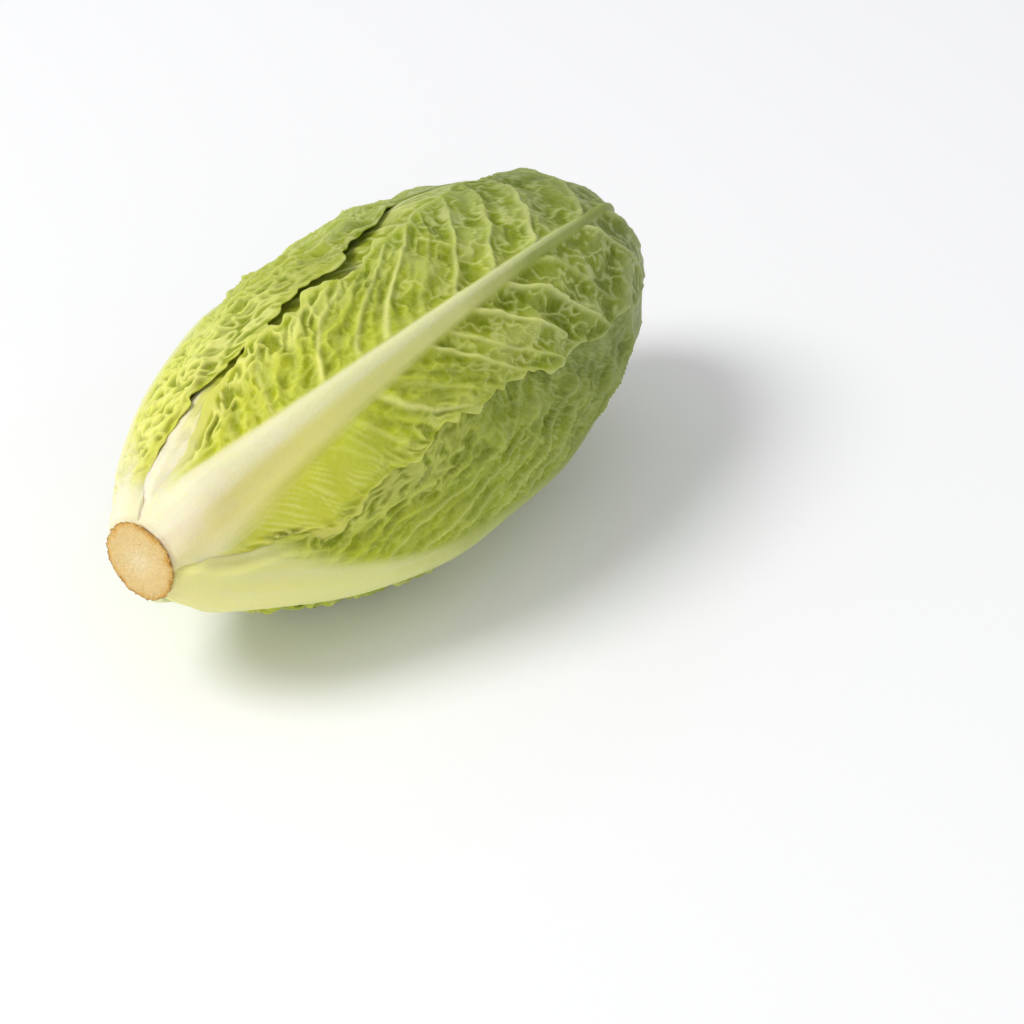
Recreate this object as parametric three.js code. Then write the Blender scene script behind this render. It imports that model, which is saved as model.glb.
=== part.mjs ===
// A whole romaine heart, lying on its side: a cut stem and the leaves that grow from it, each one a
// separate solid. Millimetres, +Z up. +X runs from the cut butt to the leaf tips, and the origin is under
// the middle, on the surface.
//
// Every leaf lies on one shared envelope, the outside of the head. A place on the envelope is a direction
// on a unit sphere: its latitude says how far along the head it is (-90 towards the butt, +90 at the
// tips), and its angle round the axis is counted from +Y towards +Z. Leaves are laid from the outside in.
// Each one sits below all that cover it, so they nest without touching, and it comes down to the stem at
// its own foot.
import * as THREE from "three";

// ---- the head ----
const BELLY_X = 98; // butt to widest place
const DOME = 118; // widest place to tips
const BELLY_R = 48;
const BUTT_R = 11.7;
const SHOULDER = 0.96; // how fast the head widens above the butt: 1 is a plain sine
const BLUNT = 2.2; // superellipse exponent of the tip end: 2 is an ellipse
const PRESSED = 1.3; // how far the belly is pressed flat by its own weight
const AXIS_Z = BELLY_R - PRESSED;
const STEEPEST = 0.3; // least radial share of a depth, where the envelope turns over at the tips

// ---- the leaves ----
const BLADE = 0.9; // thickness of a blade
const GAP = 3; // air between one leaf and the next
const CRUMPLE = 1.2; // depth of the folds of a leaf that others cover
const MARGIN = 4; // how far outside a leaf's edge the next one is fully pressed down
const FADE = 13; // and the width over which that ends
const BIG_LEAVES = 4; // the outermost leaves, which show most of their blades
const SCALLOP = 0.04; // depth of the scallops of an edge, as a share of the half width
const SCALLOP_WAVE = 34; // and their length along it
const TIP_ROUND = 2.2; // superellipse exponent of a leaf's end
const LEVEL_FOOT = 40; // length over which a leaf's rows turn from level round the stem to square to the rib
const OUTER_LIFT = 8; // length over which an outer leaf leaves the stem
const INNER_LIFT = 16;
const GOLDEN = 137.5; // degrees from one leaf to the next
const FIRST_INNER_AT = 176;
const INNER_LEAVES = 12;
const HEART_LEAVES = 3;
const FOLD_WAVE = 34; // length of a covered leaf's folds
const RUFFLE_WAVE = 31; // and of an open edge's ruffles
const QUILT_WAVE = 47; // and of the slow waves of an open blade
const QUILT = 0.8;
const RIB_OUT = 0.68; // share of an open rib's thickness that stands out, the rest being inside the blade
const RIB_EDGE = 0.4; // thickness that a rib still has at the leaf's end

// ---- the stem ----
const RIM = 1.4; // thickness of the cut disc that the outer leaves start behind
const RIM_CHAMFER = 0.6;
const STEM_R = 7.4;
const STEM_TIP = 86;
const STEM_TAPER = 0.8;
const STEM_CLEAR = 0.6;
const STEM_SIDES = 28;
const STEM_STEPS = 9;

const deg = Math.PI / 180;
const clamp = (v, low, high) => Math.min(high, Math.max(low, v));
const mix = (a, b, t) => a + (b - a) * t;
const smooth = (from, to, v) => {
  const t = clamp((v - from) / (to - from), 0, 1);
  return t * t * (3 - 2 * t);
};

// ---------------------------------------------------------------- envelope

// Radius of the head at x, from the butt to the belly, and its slope there.
function shoulder(x) {
  const t = Math.max(x, 1e-3) / BELLY_X;
  const angle = (Math.PI / 2) * t ** SHOULDER;
  const slope =
    ((BELLY_R - BUTT_R) * Math.cos(angle) * (Math.PI / 2) * SHOULDER * t ** (SHOULDER - 1)) / BELLY_X;
  return { r: BUTT_R + (BELLY_R - BUTT_R) * Math.sin(angle), slope };
}

// Where latitude `lat` of the envelope is, and the way in which depth below it is measured.
function meridian(lat) {
  if (lat < 0) {
    const share = clamp((BELLY_R * Math.cos(lat) - BUTT_R) / (BELLY_R - BUTT_R), 0, 1);
    const x = BELLY_X * ((2 / Math.PI) * Math.asin(share)) ** (1 / SHOULDER);
    const { slope } = shoulder(x);
    const size = Math.hypot(slope, 1);
    return { x, r: BELLY_R * Math.cos(lat), nx: -slope / size, nr: 1 / size };
  }
  const s = Math.sin(lat);
  const c = Math.max(Math.cos(lat), 0);
  const k = (s ** BLUNT + c ** BLUNT) ** (-1 / BLUNT);
  return { x: BELLY_X + DOME * k * s, r: BELLY_R * k * c, nx: k * s, nr: k * c };
}

// Latitude of the envelope at a distance x from the butt, below the belly.
const latitudeAt = (x) => -Math.acos(shoulder(x).r / BELLY_R);

// Length along a leaf's midrib from the belly to each of its angles: negative towards the butt, and it
// runs on over the tip end and down the far side.
const RIB_STEP = 0.5 * deg;
const RIB_END = 150 * deg;
const ribLengths = (() => {
  const lowest = Math.ceil(latitudeAt(0) / RIB_STEP);
  const highest = Math.round(RIB_END / RIB_STEP);
  const place = (i) => {
    const m = meridian(Math.min(i * RIB_STEP, Math.PI - i * RIB_STEP));
    return [m.x, i * RIB_STEP > Math.PI / 2 ? -m.r : m.r];
  };
  const lengths = [0];
  for (let i = lowest + 1; i <= highest; i++) {
    const [x0, r0] = place(i - 1);
    const [x1, r1] = place(i);
    lengths.push(lengths.at(-1) + Math.hypot(x1 - x0, r1 - r0));
  }
  return { lowest, lengths, atBelly: lengths[-lowest] };
})();

function ribLength(angle) {
  const { lowest, lengths, atBelly } = ribLengths;
  const place = clamp(angle / RIB_STEP - lowest, 0, lengths.length - 1.001);
  const i = Math.floor(place);
  return mix(lengths[i], lengths[i + 1], place - i) - atBelly;
}

function ribAngle(length) {
  const { lowest, lengths, atBelly } = ribLengths;
  const wanted = length + atBelly;
  let i = lengths.findIndex((v) => v > wanted);
  i = i < 1 ? lengths.length - 1 : i;
  return (lowest + i - 1 + (wanted - lengths[i - 1]) / (lengths[i] - lengths[i - 1])) * RIB_STEP;
}

// The stem's radius: a thick root that narrows to the growing point.
const stemRadius = (x) => STEM_R * clamp(1 - x / STEM_TIP, 0, 1) ** STEM_TAPER;

// ------------------------------------------------------------------ leaves

// A leaf: `at` is its rib's angle round the axis, `foot` the x at which it leaves the stem, `over` the
// angle at which it ends (90 is the very tip of the head). `less` and `more` are its half widths towards
// smaller and larger angles, `spreadLess` and `spreadMore` the lengths over which it widens to them from
// `footLess` and `footMore`, and `widest` the share of its length up to which it keeps them. `snug` is
// the share of the usual margin that its foot needs, `bend` how far the rib leans towards larger angles
// and `crowd` how far its columns crowd at the rib. The rib is `rib` thick and `ribHalf` wide to each
// side, with its crest off the middle by `crest` and its flank towards larger angles `wide` times as wide.
const USUAL_LEAF = {
  widest: 0.55,
  spreadLess: 52,
  spreadMore: 52,
  snug: 0.4,
  bend: 0,
  ruffle: 2,
  crowd: 1,
  rib: 4.6,
  ribHalf: 8,
  crest: 0,
  wide: 1,
};

function leafOf(spec) {
  const start = ribLength(latitudeAt(spec.foot));
  const end = ribLength(spec.over * deg);
  return { ...USUAL_LEAF, ...spec, start, end, scallops: (2 * Math.PI * (end - start)) / SCALLOP_WAVE };
}

// Outer leaves, outermost first, as they lie on this head.
const outerLeaves = [
  {
    name: "outer_leaf_front",
    at: 128, foot: 2, over: 112, widest: 0.6, bend: -4,
    less: 33, more: 28, footLess: 7.5, footMore: 9, spreadLess: 47, spreadMore: 34,
    rib: 5.4, crest: -0.35, wide: 1.7,
  },
  {
    name: "outer_leaf_top",
    at: 44, foot: 2, over: 84, widest: 0.42, bend: -24,
    less: 40, more: 29, footLess: 10.4, footMore: 6, spreadMore: 70, rib: 4.2, ribHalf: 7.5,
  },
  {
    name: "outer_leaf_under",
    at: 292, foot: 2.2, over: 95, ruffle: 3,
    less: 42, more: 40, footLess: 8.5, footMore: 9.5,
  },
  {
    name: "outer_leaf_right",
    at: 212, foot: 2.2, over: 88,
    less: 44, more: 37, footLess: 6.5, footMore: 7, spreadLess: 75, ribHalf: 9,
  },
  {
    name: "outer_leaf_gap",
    at: 68, foot: 7, over: 86,
    less: 36, more: 42, footLess: 4.5, footMore: 6, rib: 3, ribHalf: 5,
  },
  {
    name: "outer_leaf_back",
    at: 350, foot: 15, over: 88,
    less: 39, more: 38, footLess: 7, footMore: 7,
  },
].map((spec, i) => {
  const grid = i < BIG_LEAVES ? { rows: 22, columns: 14, snug: 0.12 } : { rows: 18, columns: 10, snug: 0.4 };
  return leafOf({ ...grid, ...spec, seed: i, kind: "outer", lift: OUTER_LIFT, crowd: 1.25 });
});

// Inner leaves follow each other by the golden angle, each starting higher up the stem.
const innerLeaves = Array.from({ length: INNER_LEAVES + HEART_LEAVES }, (_, i) => {
  const heart = i >= INNER_LEAVES;
  const share = i / (INNER_LEAVES + HEART_LEAVES - 1);
  const number = heart ? i - INNER_LEAVES + 1 : i + 1;
  return leafOf({
    name: (heart ? "heart_leaf_" : "inner_leaf_") + String(number).padStart(2, "0"),
    kind: heart ? "heart" : "inner",
    lift: INNER_LIFT,
    seed: outerLeaves.length + i,
    at: (FIRST_INNER_AT + GOLDEN * i) % 360,
    foot: mix(22, 70, share),
    over: mix(73, 45, share) + (i % 3),
    less: mix(37, 46, share),
    more: mix(37, 46, share),
    rib: mix(3.4, 1.4, share),
    ribHalf: mix(6.5, 4, share),
    footLess: mix(9, 7, share),
    footMore: mix(9, 7, share),
    spreadLess: 54,
    spreadMore: 54,
    rows: heart ? 10 : 12,
    columns: 8,
  });
});

const leaves = [...outerLeaves, ...innerLeaves];

// How far a rib has leant towards larger angles at an angle along it, in radians.
const lean = (leaf, angle) => (leaf.bend * smooth(-40 * deg, 100 * deg, angle)) / BELLY_R;

// Half width of a leaf at share t of its length, on the side that `across` is on: narrow at the foot,
// widest past the middle, round at the end.
function halfWidth(leaf, t, across) {
  const wave = Math.sin(leaf.scallops * t + leaf.seed + (across < 0 ? 0 : 2));
  const full = (across < 0 ? leaf.less : leaf.more) * (1 + SCALLOP * wave);
  const foot = across < 0 ? leaf.footLess : leaf.footMore;
  const spread = across < 0 ? leaf.spreadLess : leaf.spreadMore;
  if (t < leaf.widest) return mix(foot, full, smooth(0, spread, t * (leaf.end - leaf.start)));
  const past = (t - leaf.widest) / (1 - leaf.widest);
  return full * Math.sqrt(Math.max(0, 1 - past ** TIP_ROUND));
}

// A leaf's foot is level round the stem, and further up its rows run square to the rib.
const levelled = (along) => smooth(0, LEVEL_FOOT, along);

// A direction on the unit sphere from a leaf's own place: `angle` along the rib, `across` in radians
// beside it.
function directionOf(leaf, angle, across) {
  const b = across + lean(leaf, angle);
  const up = Math.cos(angle) * Math.cos(b);
  const c = Math.cos(leaf.at * deg);
  const s = Math.sin(leaf.at * deg);
  return [Math.sin(angle) * Math.cos(b), up * c - Math.sin(b) * s, up * s + Math.sin(b) * c];
}

// The other way round: where a direction is on a leaf, in mm along and beside its rib.
function placeOn(leaf, [qx, qy, qz]) {
  const c = Math.cos(leaf.at * deg);
  const s = Math.sin(leaf.at * deg);
  const turn = Math.atan2(qx, qy * c + qz * s);
  if (turn < -Math.PI / 2) return { along: -BELLY_X, beside: BELLY_X };
  const level = Math.asin(clamp(qx, -1, 1));
  const angle = mix(level, turn, levelled(ribLength(level) - leaf.start));
  const across = Math.asin(clamp(qz * c - qy * s, -1, 1)) - lean(leaf, angle);
  return { along: ribLength(angle) - leaf.start, beside: across * BELLY_R };
}

// How far outside its edge a place is, in mm: negative on the leaf.
function outside(leaf, { along, beside }) {
  const t = along / (leaf.end - leaf.start);
  const out = Math.abs(beside) - halfWidth(leaf, clamp(t, 0, leaf.widest), beside);
  if (t < 0) return Math.max(-along, out);
  if (t < leaf.widest) return out;
  const full = beside < 0 ? leaf.less : leaf.more;
  const past = (t - leaf.widest) / (1 - leaf.widest);
  return (Math.sqrt((beside / full) ** 2 + past ** TIP_ROUND) - 1 - SCALLOP) * full;
}

// Share of a place that a leaf presses down: all of it on the leaf, none well outside it.
function cover(leaf, place) {
  const near = mix(leaf.snug, 1, smooth(0, 28, place.along));
  return 1 - smooth(MARGIN * near, (MARGIN + FADE) * near, outside(leaf, place));
}

// The rib: thick and wide at the foot, fine at the tip. Its crest may lean to one side.
function ribAt(leaf, { along, beside }, spread = 1) {
  const t = clamp(along / (leaf.end - leaf.start), 0, 1);
  const wide = leaf.ribHalf * (1 - t) ** 0.8 + 1.4;
  const half = Math.min(wide, 0.72 * halfWidth(leaf, Math.min(t, 0.5), beside));
  const shift = beside / half - leaf.crest;
  const reach = (shift > 0 ? shift / leaf.wide : shift) / spread;
  const thinFoot = 1 - 0.45 * smooth(0.12, 0, t);
  return (leaf.rib * (1 - t) ** 0.7 * thinFoot + RIB_EDGE) / (1 + reach ** 4);
}

const thickness = (leaf, place) => BLADE + ribAt(leaf, place);
// The room that a leaf takes is a little wider than its rib, so that the next leaf clears it.
const room = (leaf, place) => BLADE + ribAt(leaf, place, 1.4);

// Waves of a seeded leaf: a few sines across each other, from 0 to 1.
function waves(leaf, { along, beside }, length) {
  const k = (2 * Math.PI) / length;
  const p = leaf.seed * 2.4;
  const one = Math.sin(k * along + p + 0.9 * Math.sin(k * 0.6 * beside + 2 * p));
  const two = Math.sin(k * 0.7 * beside - k * 0.55 * along + 1.7 * p);
  return 0.5 + 0.25 * (one + two);
}

// Folds of a covered leaf: none at the foot and towards the tips, where the leaves lie close.
function crumple(leaf, place, lat) {
  if (leaf.kind === "outer") return 0;
  return CRUMPLE * smooth(0, 30, place.along) * (1 - smooth(20 * deg, 65 * deg, lat));
}

// How far an uncovered place stands out: the rib, a slow wave, and an edge that lifts and ruffles.
function swell(leaf, place) {
  const edge = smooth(-16, -1, outside(leaf, place)) * smooth(6, 34, place.along);
  const ruffle = leaf.ruffle * edge * (0.25 + 1.1 * waves(leaf, place, RUFFLE_WAVE));
  const quilt = QUILT * smooth(18, 60, place.along) * waves(leaf, place, QUILT_WAVE);
  return RIB_OUT * smooth(0, 16, place.along) * ribAt(leaf, place) + ruffle + quilt * (1 - edge);
}

// Depth of the stem's surface below the envelope.
const stemDepth = (m) => (m.r - stemRadius(m.x) - STEM_CLEAR) / Math.max(m.nr, STEEPEST);

// How much deeper the envelope lies where the surface under the head presses it.
function pressed(m, sine) {
  return sine < 0 ? Math.max(0, (m.r + AXIS_Z / sine) / Math.max(m.nr, STEEPEST)) : 0;
}

// Depth of leaf number n at a direction, and its share that nothing covers.
function layDown(n, q) {
  const lat = Math.asin(clamp(q[0], -1, 1));
  const m = meridian(lat);
  let front = pressed(m, q[2] / Math.max(Math.hypot(q[1], q[2]), 1e-6));
  let bare = 1;
  for (let j = 0; ; j++) {
    const leaf = leaves[j];
    const place = placeOn(leaf, q);
    const thick = thickness(leaf, place);
    const held = 1 - smooth(0, leaf.lift, place.along);
    const depth = front + held * Math.max(0, stemDepth(m) - thick - front);
    if (j === n) return { depth, bare, thick, place, m, lat };
    const covered = cover(leaf, place);
    if (covered > 0) {
      front += covered * (depth + room(leaf, place) + crumple(leaf, place, lat) + GAP - front);
      bare *= 1 - covered;
    }
  }
}

// A point at a depth below the envelope, above the surface that the head lies on by at least `least`.
function pointAt(m, q, depth, least) {
  const size = Math.max(Math.hypot(q[1], q[2]), 1e-6);
  const r = m.r - depth * m.nr;
  const z = AXIS_Z + (r * q[2]) / size;
  return new THREE.Vector3(m.x - depth * m.nx, (r * q[1]) / size, Math.max(z, least));
}

// Direction of a leaf's place at row u of its length and share v of its half width.
function gridDirection(leaf, u, v) {
  const t = rowShare(leaf, u);
  const across = (v * halfWidth(leaf, t, v)) / BELLY_R;
  const along = t * (leaf.end - leaf.start);
  const angle = ribAngle(leaf.start + along);
  const level = Math.asin(clamp(Math.sin(angle) / Math.cos(across), -1, 1));
  return directionOf(leaf, mix(level, angle, levelled(along)), across);
}

// Share of a leaf's length at row u: rows are close together at the foot and closer again towards the
// round end.
function rowShare(leaf, u) {
  const even = Math.round(leaf.rows * 0.52);
  if (u < even) return leaf.widest * (Math.max(u, 0) / even) ** 1.35;
  const turn = clamp((u - even) / (leaf.rows - even), 0, 1);
  return leaf.widest + (1 - leaf.widest) * Math.sin((Math.PI / 2) * turn);
}

// Share of the half width at column j of `across`: columns may crowd at the rib.
function columnShare(leaf, j, across) {
  const even = across ? (2 * j) / across - 1 : 0;
  return Math.sign(even) * Math.abs(even) ** leaf.crowd;
}

// The outer and inner point of leaf number n at row u and share v of its half width.
function leafPoints(n, u, v) {
  const leaf = leaves[n];
  const q = gridDirection(leaf, u, v);
  const { depth, bare, thick, place, m, lat } = layDown(n, q);
  const folds = crumple(leaf, place, lat) * waves(leaf, place, FOLD_WAVE);
  const top = depth - bare ** 3 * swell(leaf, place) + (1 - bare) * folds;
  return [pointAt(m, q, top, 0), pointAt(m, q, top + thick, BLADE)];
}

// A closed thin solid from two sheets of points, split into triangles alike. Each sheet has rows of the
// same number of points, and one last point where the leaf ends.
function closedSheet(top, bottom) {
  const rows = top.length - 1;
  const columns = top[0].length - 1;
  const points = [...top.flat(), ...bottom.flat()];
  const half = points.length / 2;
  const at = (i, j) => i * (columns + 1) + j;
  const triangles = [];
  const both = (a, b, c) => triangles.push(a, b, c, a + half, c + half, b + half);
  const wall = (a, b) => triangles.push(b, a, a + half, b, a + half, b + half);
  for (let i = 0; i < rows - 1; i++)
    for (let j = 0; j < columns; j++) {
      const [a, b, c, d] = [at(i, j), at(i, j + 1), at(i + 1, j + 1), at(i + 1, j)];
      const halves = (i + j) % 2 ? [[a, b, c], [a, c, d]] : [[a, b, d], [b, c, d]];
      for (const corners of halves) both(...corners);
    }
  const end = half - 1;
  for (let j = 0; j < columns; j++) {
    both(at(rows - 1, j), at(rows - 1, j + 1), end);
    wall(at(0, j), at(0, j + 1));
  }
  for (let i = 0; i < rows - 1; i++) {
    wall(at(i + 1, 0), at(i, 0));
    wall(at(i, columns), at(i + 1, columns));
  }
  wall(end, at(rows - 1, 0));
  wall(at(rows - 1, columns), end);
  const geometry = new THREE.BufferGeometry().setFromPoints(points);
  geometry.setIndex(triangles);
  geometry.computeVertexNormals();
  return geometry;
}

function leafGeometry(n) {
  const leaf = leaves[n];
  const top = [];
  const bottom = [];
  for (let i = 0; i <= leaf.rows; i++) {
    const across = i < leaf.rows ? leaf.columns : 0;
    const pairs = Array.from({ length: across + 1 }, (_, j) => {
      return leafPoints(n, i, columnShare(leaf, j, across));
    });
    top.push(pairs.map((pair) => pair[0]));
    bottom.push(pairs.map((pair) => pair[1]));
  }
  return closedSheet(top, bottom);
}

// ------------------------------------------------------- stem and growing point

// The stem: the cut disc at the butt, a groove behind its rim, and the cone that carries the leaves.
function stemGeometry() {
  const profile = [
    [0, 0],
    [BUTT_R - RIM_CHAMFER / 2, 0],
    [BUTT_R + RIM_CHAMFER / 4, RIM_CHAMFER],
    [BUTT_R, RIM - RIM_CHAMFER / 2],
    [stemRadius(RIM), RIM],
  ];
  const end = STEM_TIP - 1;
  for (let i = 1; i < STEM_STEPS; i++) {
    const x = mix(RIM, end, i / STEM_STEPS);
    profile.push([stemRadius(x), x]);
  }
  profile.push([0, end]);
  const outline = profile.map(([r, x]) => new THREE.Vector2(r, x));
  const lathe = new THREE.LatheGeometry(outline, STEM_SIDES);
  lathe.rotateZ(-Math.PI / 2);
  lathe.translate(0, 0, AXIS_Z);
  return lathe;
}

const SLOTS = {
  outer: new THREE.MeshStandardMaterial({ name: "leaf_outer", color: 0x9fbf58, roughness: 0.5 }),
  inner: new THREE.MeshStandardMaterial({ name: "leaf_inner", color: 0xc9d97a, roughness: 0.5 }),
  heart: new THREE.MeshStandardMaterial({ name: "leaf_heart", color: 0xead65a, roughness: 0.5 }),
  stem: new THREE.MeshStandardMaterial({ name: "stem_cut", color: 0xd9b274, roughness: 0.75 }),
};

const head = new THREE.Group();
leaves.forEach((leaf, n) => {
  const mesh = new THREE.Mesh(leafGeometry(n), SLOTS[leaf.kind]);
  mesh.name = leaf.name;
  head.add(mesh);
});
const stem = new THREE.Mesh(stemGeometry(), SLOTS.stem);
stem.name = "stem";
head.add(stem);

// The origin goes under the middle of the whole head.
const box = new THREE.Box3().setFromObject(head, true);
head.position.set(-(box.min.x + box.max.x) / 2, -(box.min.y + box.max.y) / 2, -box.min.z);
head.updateMatrixWorld(true);

export default head;
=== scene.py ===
"""The looks of a romaine heart that lies on its side.

Every leaf of the head lies on one shared envelope and is laid from the outside in, by the same rule and the
same sizes as its solid. Here each leaf gets its side veins, the net between them, its folds and dents, and
its frilled edge. Lengths in this file are in mm, with x from the butt, until a mesh gets its points. "Along"
is the way up a leaf from its foot, and "beside" the way across it from its middle, negative on its "less"
side. A pair of values such as YOUNG holds the places between which something rises, or falls where the
first is the greater.
"""

import math
from types import SimpleNamespace

import bpy
import numpy as np
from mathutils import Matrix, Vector

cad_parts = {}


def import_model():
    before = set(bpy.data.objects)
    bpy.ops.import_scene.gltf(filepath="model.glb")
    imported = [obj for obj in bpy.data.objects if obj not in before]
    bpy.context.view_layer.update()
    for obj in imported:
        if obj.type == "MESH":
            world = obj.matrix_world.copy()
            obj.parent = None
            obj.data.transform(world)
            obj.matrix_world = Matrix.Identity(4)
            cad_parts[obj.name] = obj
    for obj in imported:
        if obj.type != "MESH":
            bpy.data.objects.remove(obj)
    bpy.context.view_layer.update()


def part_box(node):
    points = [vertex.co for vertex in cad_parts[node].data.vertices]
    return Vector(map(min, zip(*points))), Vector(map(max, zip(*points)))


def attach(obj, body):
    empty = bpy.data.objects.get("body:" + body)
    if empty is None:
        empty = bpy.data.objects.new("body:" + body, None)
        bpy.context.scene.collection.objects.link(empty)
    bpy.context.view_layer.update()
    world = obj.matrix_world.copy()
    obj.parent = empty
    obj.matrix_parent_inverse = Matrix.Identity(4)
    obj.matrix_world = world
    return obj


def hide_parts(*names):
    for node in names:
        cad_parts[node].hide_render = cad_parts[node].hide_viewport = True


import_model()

MM = 0.001

# ---------------------------------------------------------------- sizes of the head, as its solids have them

stem_low, stem_high = (np.array(corner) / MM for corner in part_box("stem"))
BUTT_X = stem_low[0]
AXIS_Y = (stem_low[1] + stem_high[1]) / 2
AXIS_Z = (stem_low[2] + stem_high[2]) / 2

BELLY_X = 98  # butt to widest place
DOME = 118  # widest place to tips
BELLY_R = 48
BUTT_R = 11.7
SHOULDER = 0.96  # how fast the head widens above the butt: 1 is a plain sine
BLUNT = 2.2  # superellipse exponent of the tip end
STEEPEST = 0.3  # least radial share that a depth below the envelope is taken to have, at the tips

BLADE = 0.9  # thickness of a blade, and of its edge
EDGE = 0.45
GAP = 3  # air between one leaf and the next
CRUMPLE = 1.2  # how far the inner leaves fold in and out
CRUMPLE_STARTS = (0, 30)  # places along a leaf between which that starts, and latitudes between which it ends
CRUMPLE_ENDS = (math.radians(20), math.radians(65))
MARGIN = 4  # how far outside its own edge a leaf presses the next one down in full
FADE = 13  # and over what width that fades
SNUG_FOOT = 28  # length over which a snug leaf goes from close to the covering edge to its own tuck
SCALLOP = 0.04  # how far a leaf's width waves, as a share of it
SCALLOP_WAVE = 34
TIP_ROUND = 2.2  # superellipse exponent of a leaf's tip
LEVEL_FOOT = 40  # length over which the rows of a leaf turn from rings of the head to rows of its own
LEANS = (math.radians(-40), math.radians(100))  # angles between which a leaf comes to lean aside
OUTER_LIFT = 8  # length over which a leaf leaves the stem
INNER_LIFT = 16
GOLDEN = 137.5  # degrees from one leaf to the next
FIRST_INNER_AT = 176
INNER_LEAVES = 12
HEART_LEAVES = 3
BIG_LEAVES = 4  # the outermost ones, which lie closest
BIG_SNUG = 0.12
FOLD_WAVE = 34  # lengths of the waves of the inner leaves, of a ruffled edge and of the whole blade
RUFFLE_WAVE = 31
QUILT_WAVE = 47
QUILT = 0.8
RIB_OUT = 0.68  # share of a rib's thickness that stands out of the head
RIB_FOOT = 16  # length over which it rises
RIB_EDGE = 0.4  # what the crest of a rib has more than its tapering thickness
RIB_TAPER = 0.7
RIB_THIN = 0.45  # share of its thickness that it lacks at the foot, over RIB_THIN_RUN of the length
RIB_THIN_RUN = 0.12
RIB_HALF_TAPER = 0.8  # how its half width tapers, and what that has more than its tapering size
RIB_HALF_TIP = 1.4
RIB_MOST = 0.72  # most of a leaf's half width that the half width of its rib takes,
RIB_MOST_TO = 0.5  # with the half width at this share of the length from there on
ROOM_SPREAD = 1.4  # a rib presses the next leaf down over this many times its own width

STEM_R = 7.4
DISC_R = 11.2
STEM_TIP = 86
STEM_TAPER = 0.8
STEM_CLEAR = 0.6

# ---------------------------------------------------------------- sizes of what the looks add

VEINS_START = -40  # the rows of side veins start this far below the foot and go on this far past the tip,
VEINS_PAST = 60  # because they lean
VEIN_STEP_FOOT = 9  # side veins leave the rib this far apart at the foot
VEIN_STEP_TIP = 26  # and this far apart near the tip
VEIN_STEP_GROWS = (0.15, 0.7)  # shares of the length between which that changes
VEIN_STEP_SPREAD = (0.62, 1.38)  # least and most of that distance that one vein takes
VEIN_LEAN = 1.4  # how far a side vein runs towards the tip for each mm away from the rib, near the tip
VEIN_CURL = 0.014  # and how it turns towards the tip from VEIN_CURL_FROM on, for VEIN_CURL_RUN
VEIN_CURL_FROM = 13
VEIN_CURL_RUN = 20
VEIN_GROWS = (15, 130)  # places along a leaf between which its veins come to lean and get wider
VEIN_WANDER = 2.6  # long bends of the side veins, and their length
VEIN_WANDER_STEP = 21
VEIN_TWIST = 0.7  # short bends
VEIN_TWIST_STEP = 6
VEIN_HEIGHT = 1.35
VEIN_YOUNG = 0.35  # share of that height on the lower blade
VEIN_LEAST = 0.3  # the faintest side vein and the strongest one, as shares of that height
VEIN_MOST = 1.15
VEIN_THINS = 0.4  # share of its height that a side vein loses towards the edge
VEIN_HALF = 1.05  # half width of a side vein
VEIN_HALF_RIB = 1.15  # and its shares at the rib and at the edge
VEIN_HALF_EDGE = 0.6
VEIN_WIDER = 0.3  # how much wider it is near the tip
BRANCH = 0.3  # height and half width of the small vein between two side veins, as shares of theirs
BRANCH_HALF = 0.6
BRANCH_STARTS = (0.3, 0.7)  # shares of the way to the edge between which it rises
FOLD_STEP = 6.2  # folds of the lower blade, from the rib to the edge
FOLD_HEIGHT = 1.2
FOLD_SHARP = 0.8
CURL_STEP = 3.1  # winding ridges of the lower blade and of the margin, with dents between them
CURL_LONG = 1.2  # they are this much longer across the leaf
CURL_HEIGHT = 1.75
CURL_HALF = 0.32  # half width of a ridge, as a share of the step
WARP = 0.45  # how far noise bends all these patterns, as a share of their step, and its own step
WARP_STEP = 4.1
WARP_SHIFT = 40.5  # how far on in the noise they are bent the other way
NET_STEP = 7.5  # cells of the net between the side veins of the upper blade
NET_HEIGHT = 0.32
NET_HALF = 0.9  # half width of its threads
POCKET = 0.7  # how far the cells of the net sink in, as a share of the depth of a dent
DENT_STEP = 4.4  # single dents of the upper blade, DENT_LONG times as long as wide
DENT_LONG = 1.7
DENT_DEPTH = 0.6
DENT_EDGES = (0.1, 0.75)  # noise between which a dent goes down
SAG = 1.1  # how far the upper blade sags between its side veins
SAG_ROUND = 1.3
SAG_SPAN = 18  # distance of two side veins at which it sags in full
BILLOW = 1.9  # how far the whole blade billows, BILLOW_LOW of it on the lower blade
BILLOW_LOW = 0.6
BILLOW_ALONG = 13  # steps of the billows
BILLOW_BESIDE = 10
YOUNG = (0.5, 0.2)  # shares of the length between which the folded lower blade takes over from the upper one
MARGIN_CURLS = (0.4, 0.8)  # shares of the way to the edge between which winding ridges take over from folds
SMOOTH_FOOT = (4, 22)  # the relief rises between these places along a leaf,
SMOOTH_EDGE = (-1, 3.5)  # between these distances inside its edge,
SMOOTH_RIB = (0.75, 1.5)  # between these shares of the reach of its rib,
CALM_TIP = (0.55, 0.85)  # and loses CALM of its height between these shares of the length
CALM = 0.45
FURROW = 0.9  # depth of the furrow between the crest and the broad side of the big leaf, at its foot
FURROW_AT = 0.52  # where it is and half its width, as shares of the reach of the rib
FURROW_HALF = 0.32
FURROW_STARTS = (1, 10)
FURROW_ENDS = (22, 60)
STRIP_ENDS = (48, 80)  # the smooth strip beside the broad rib ends between these places along the leaf
STRIP_SIDE = (0.72, 0.94)  # and between these shares of the way to the edge
LINE_STEP = 2.2  # fine lines on that strip
LINE_HEIGHT = 0.15
LINE_LEAN = 0.45
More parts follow.
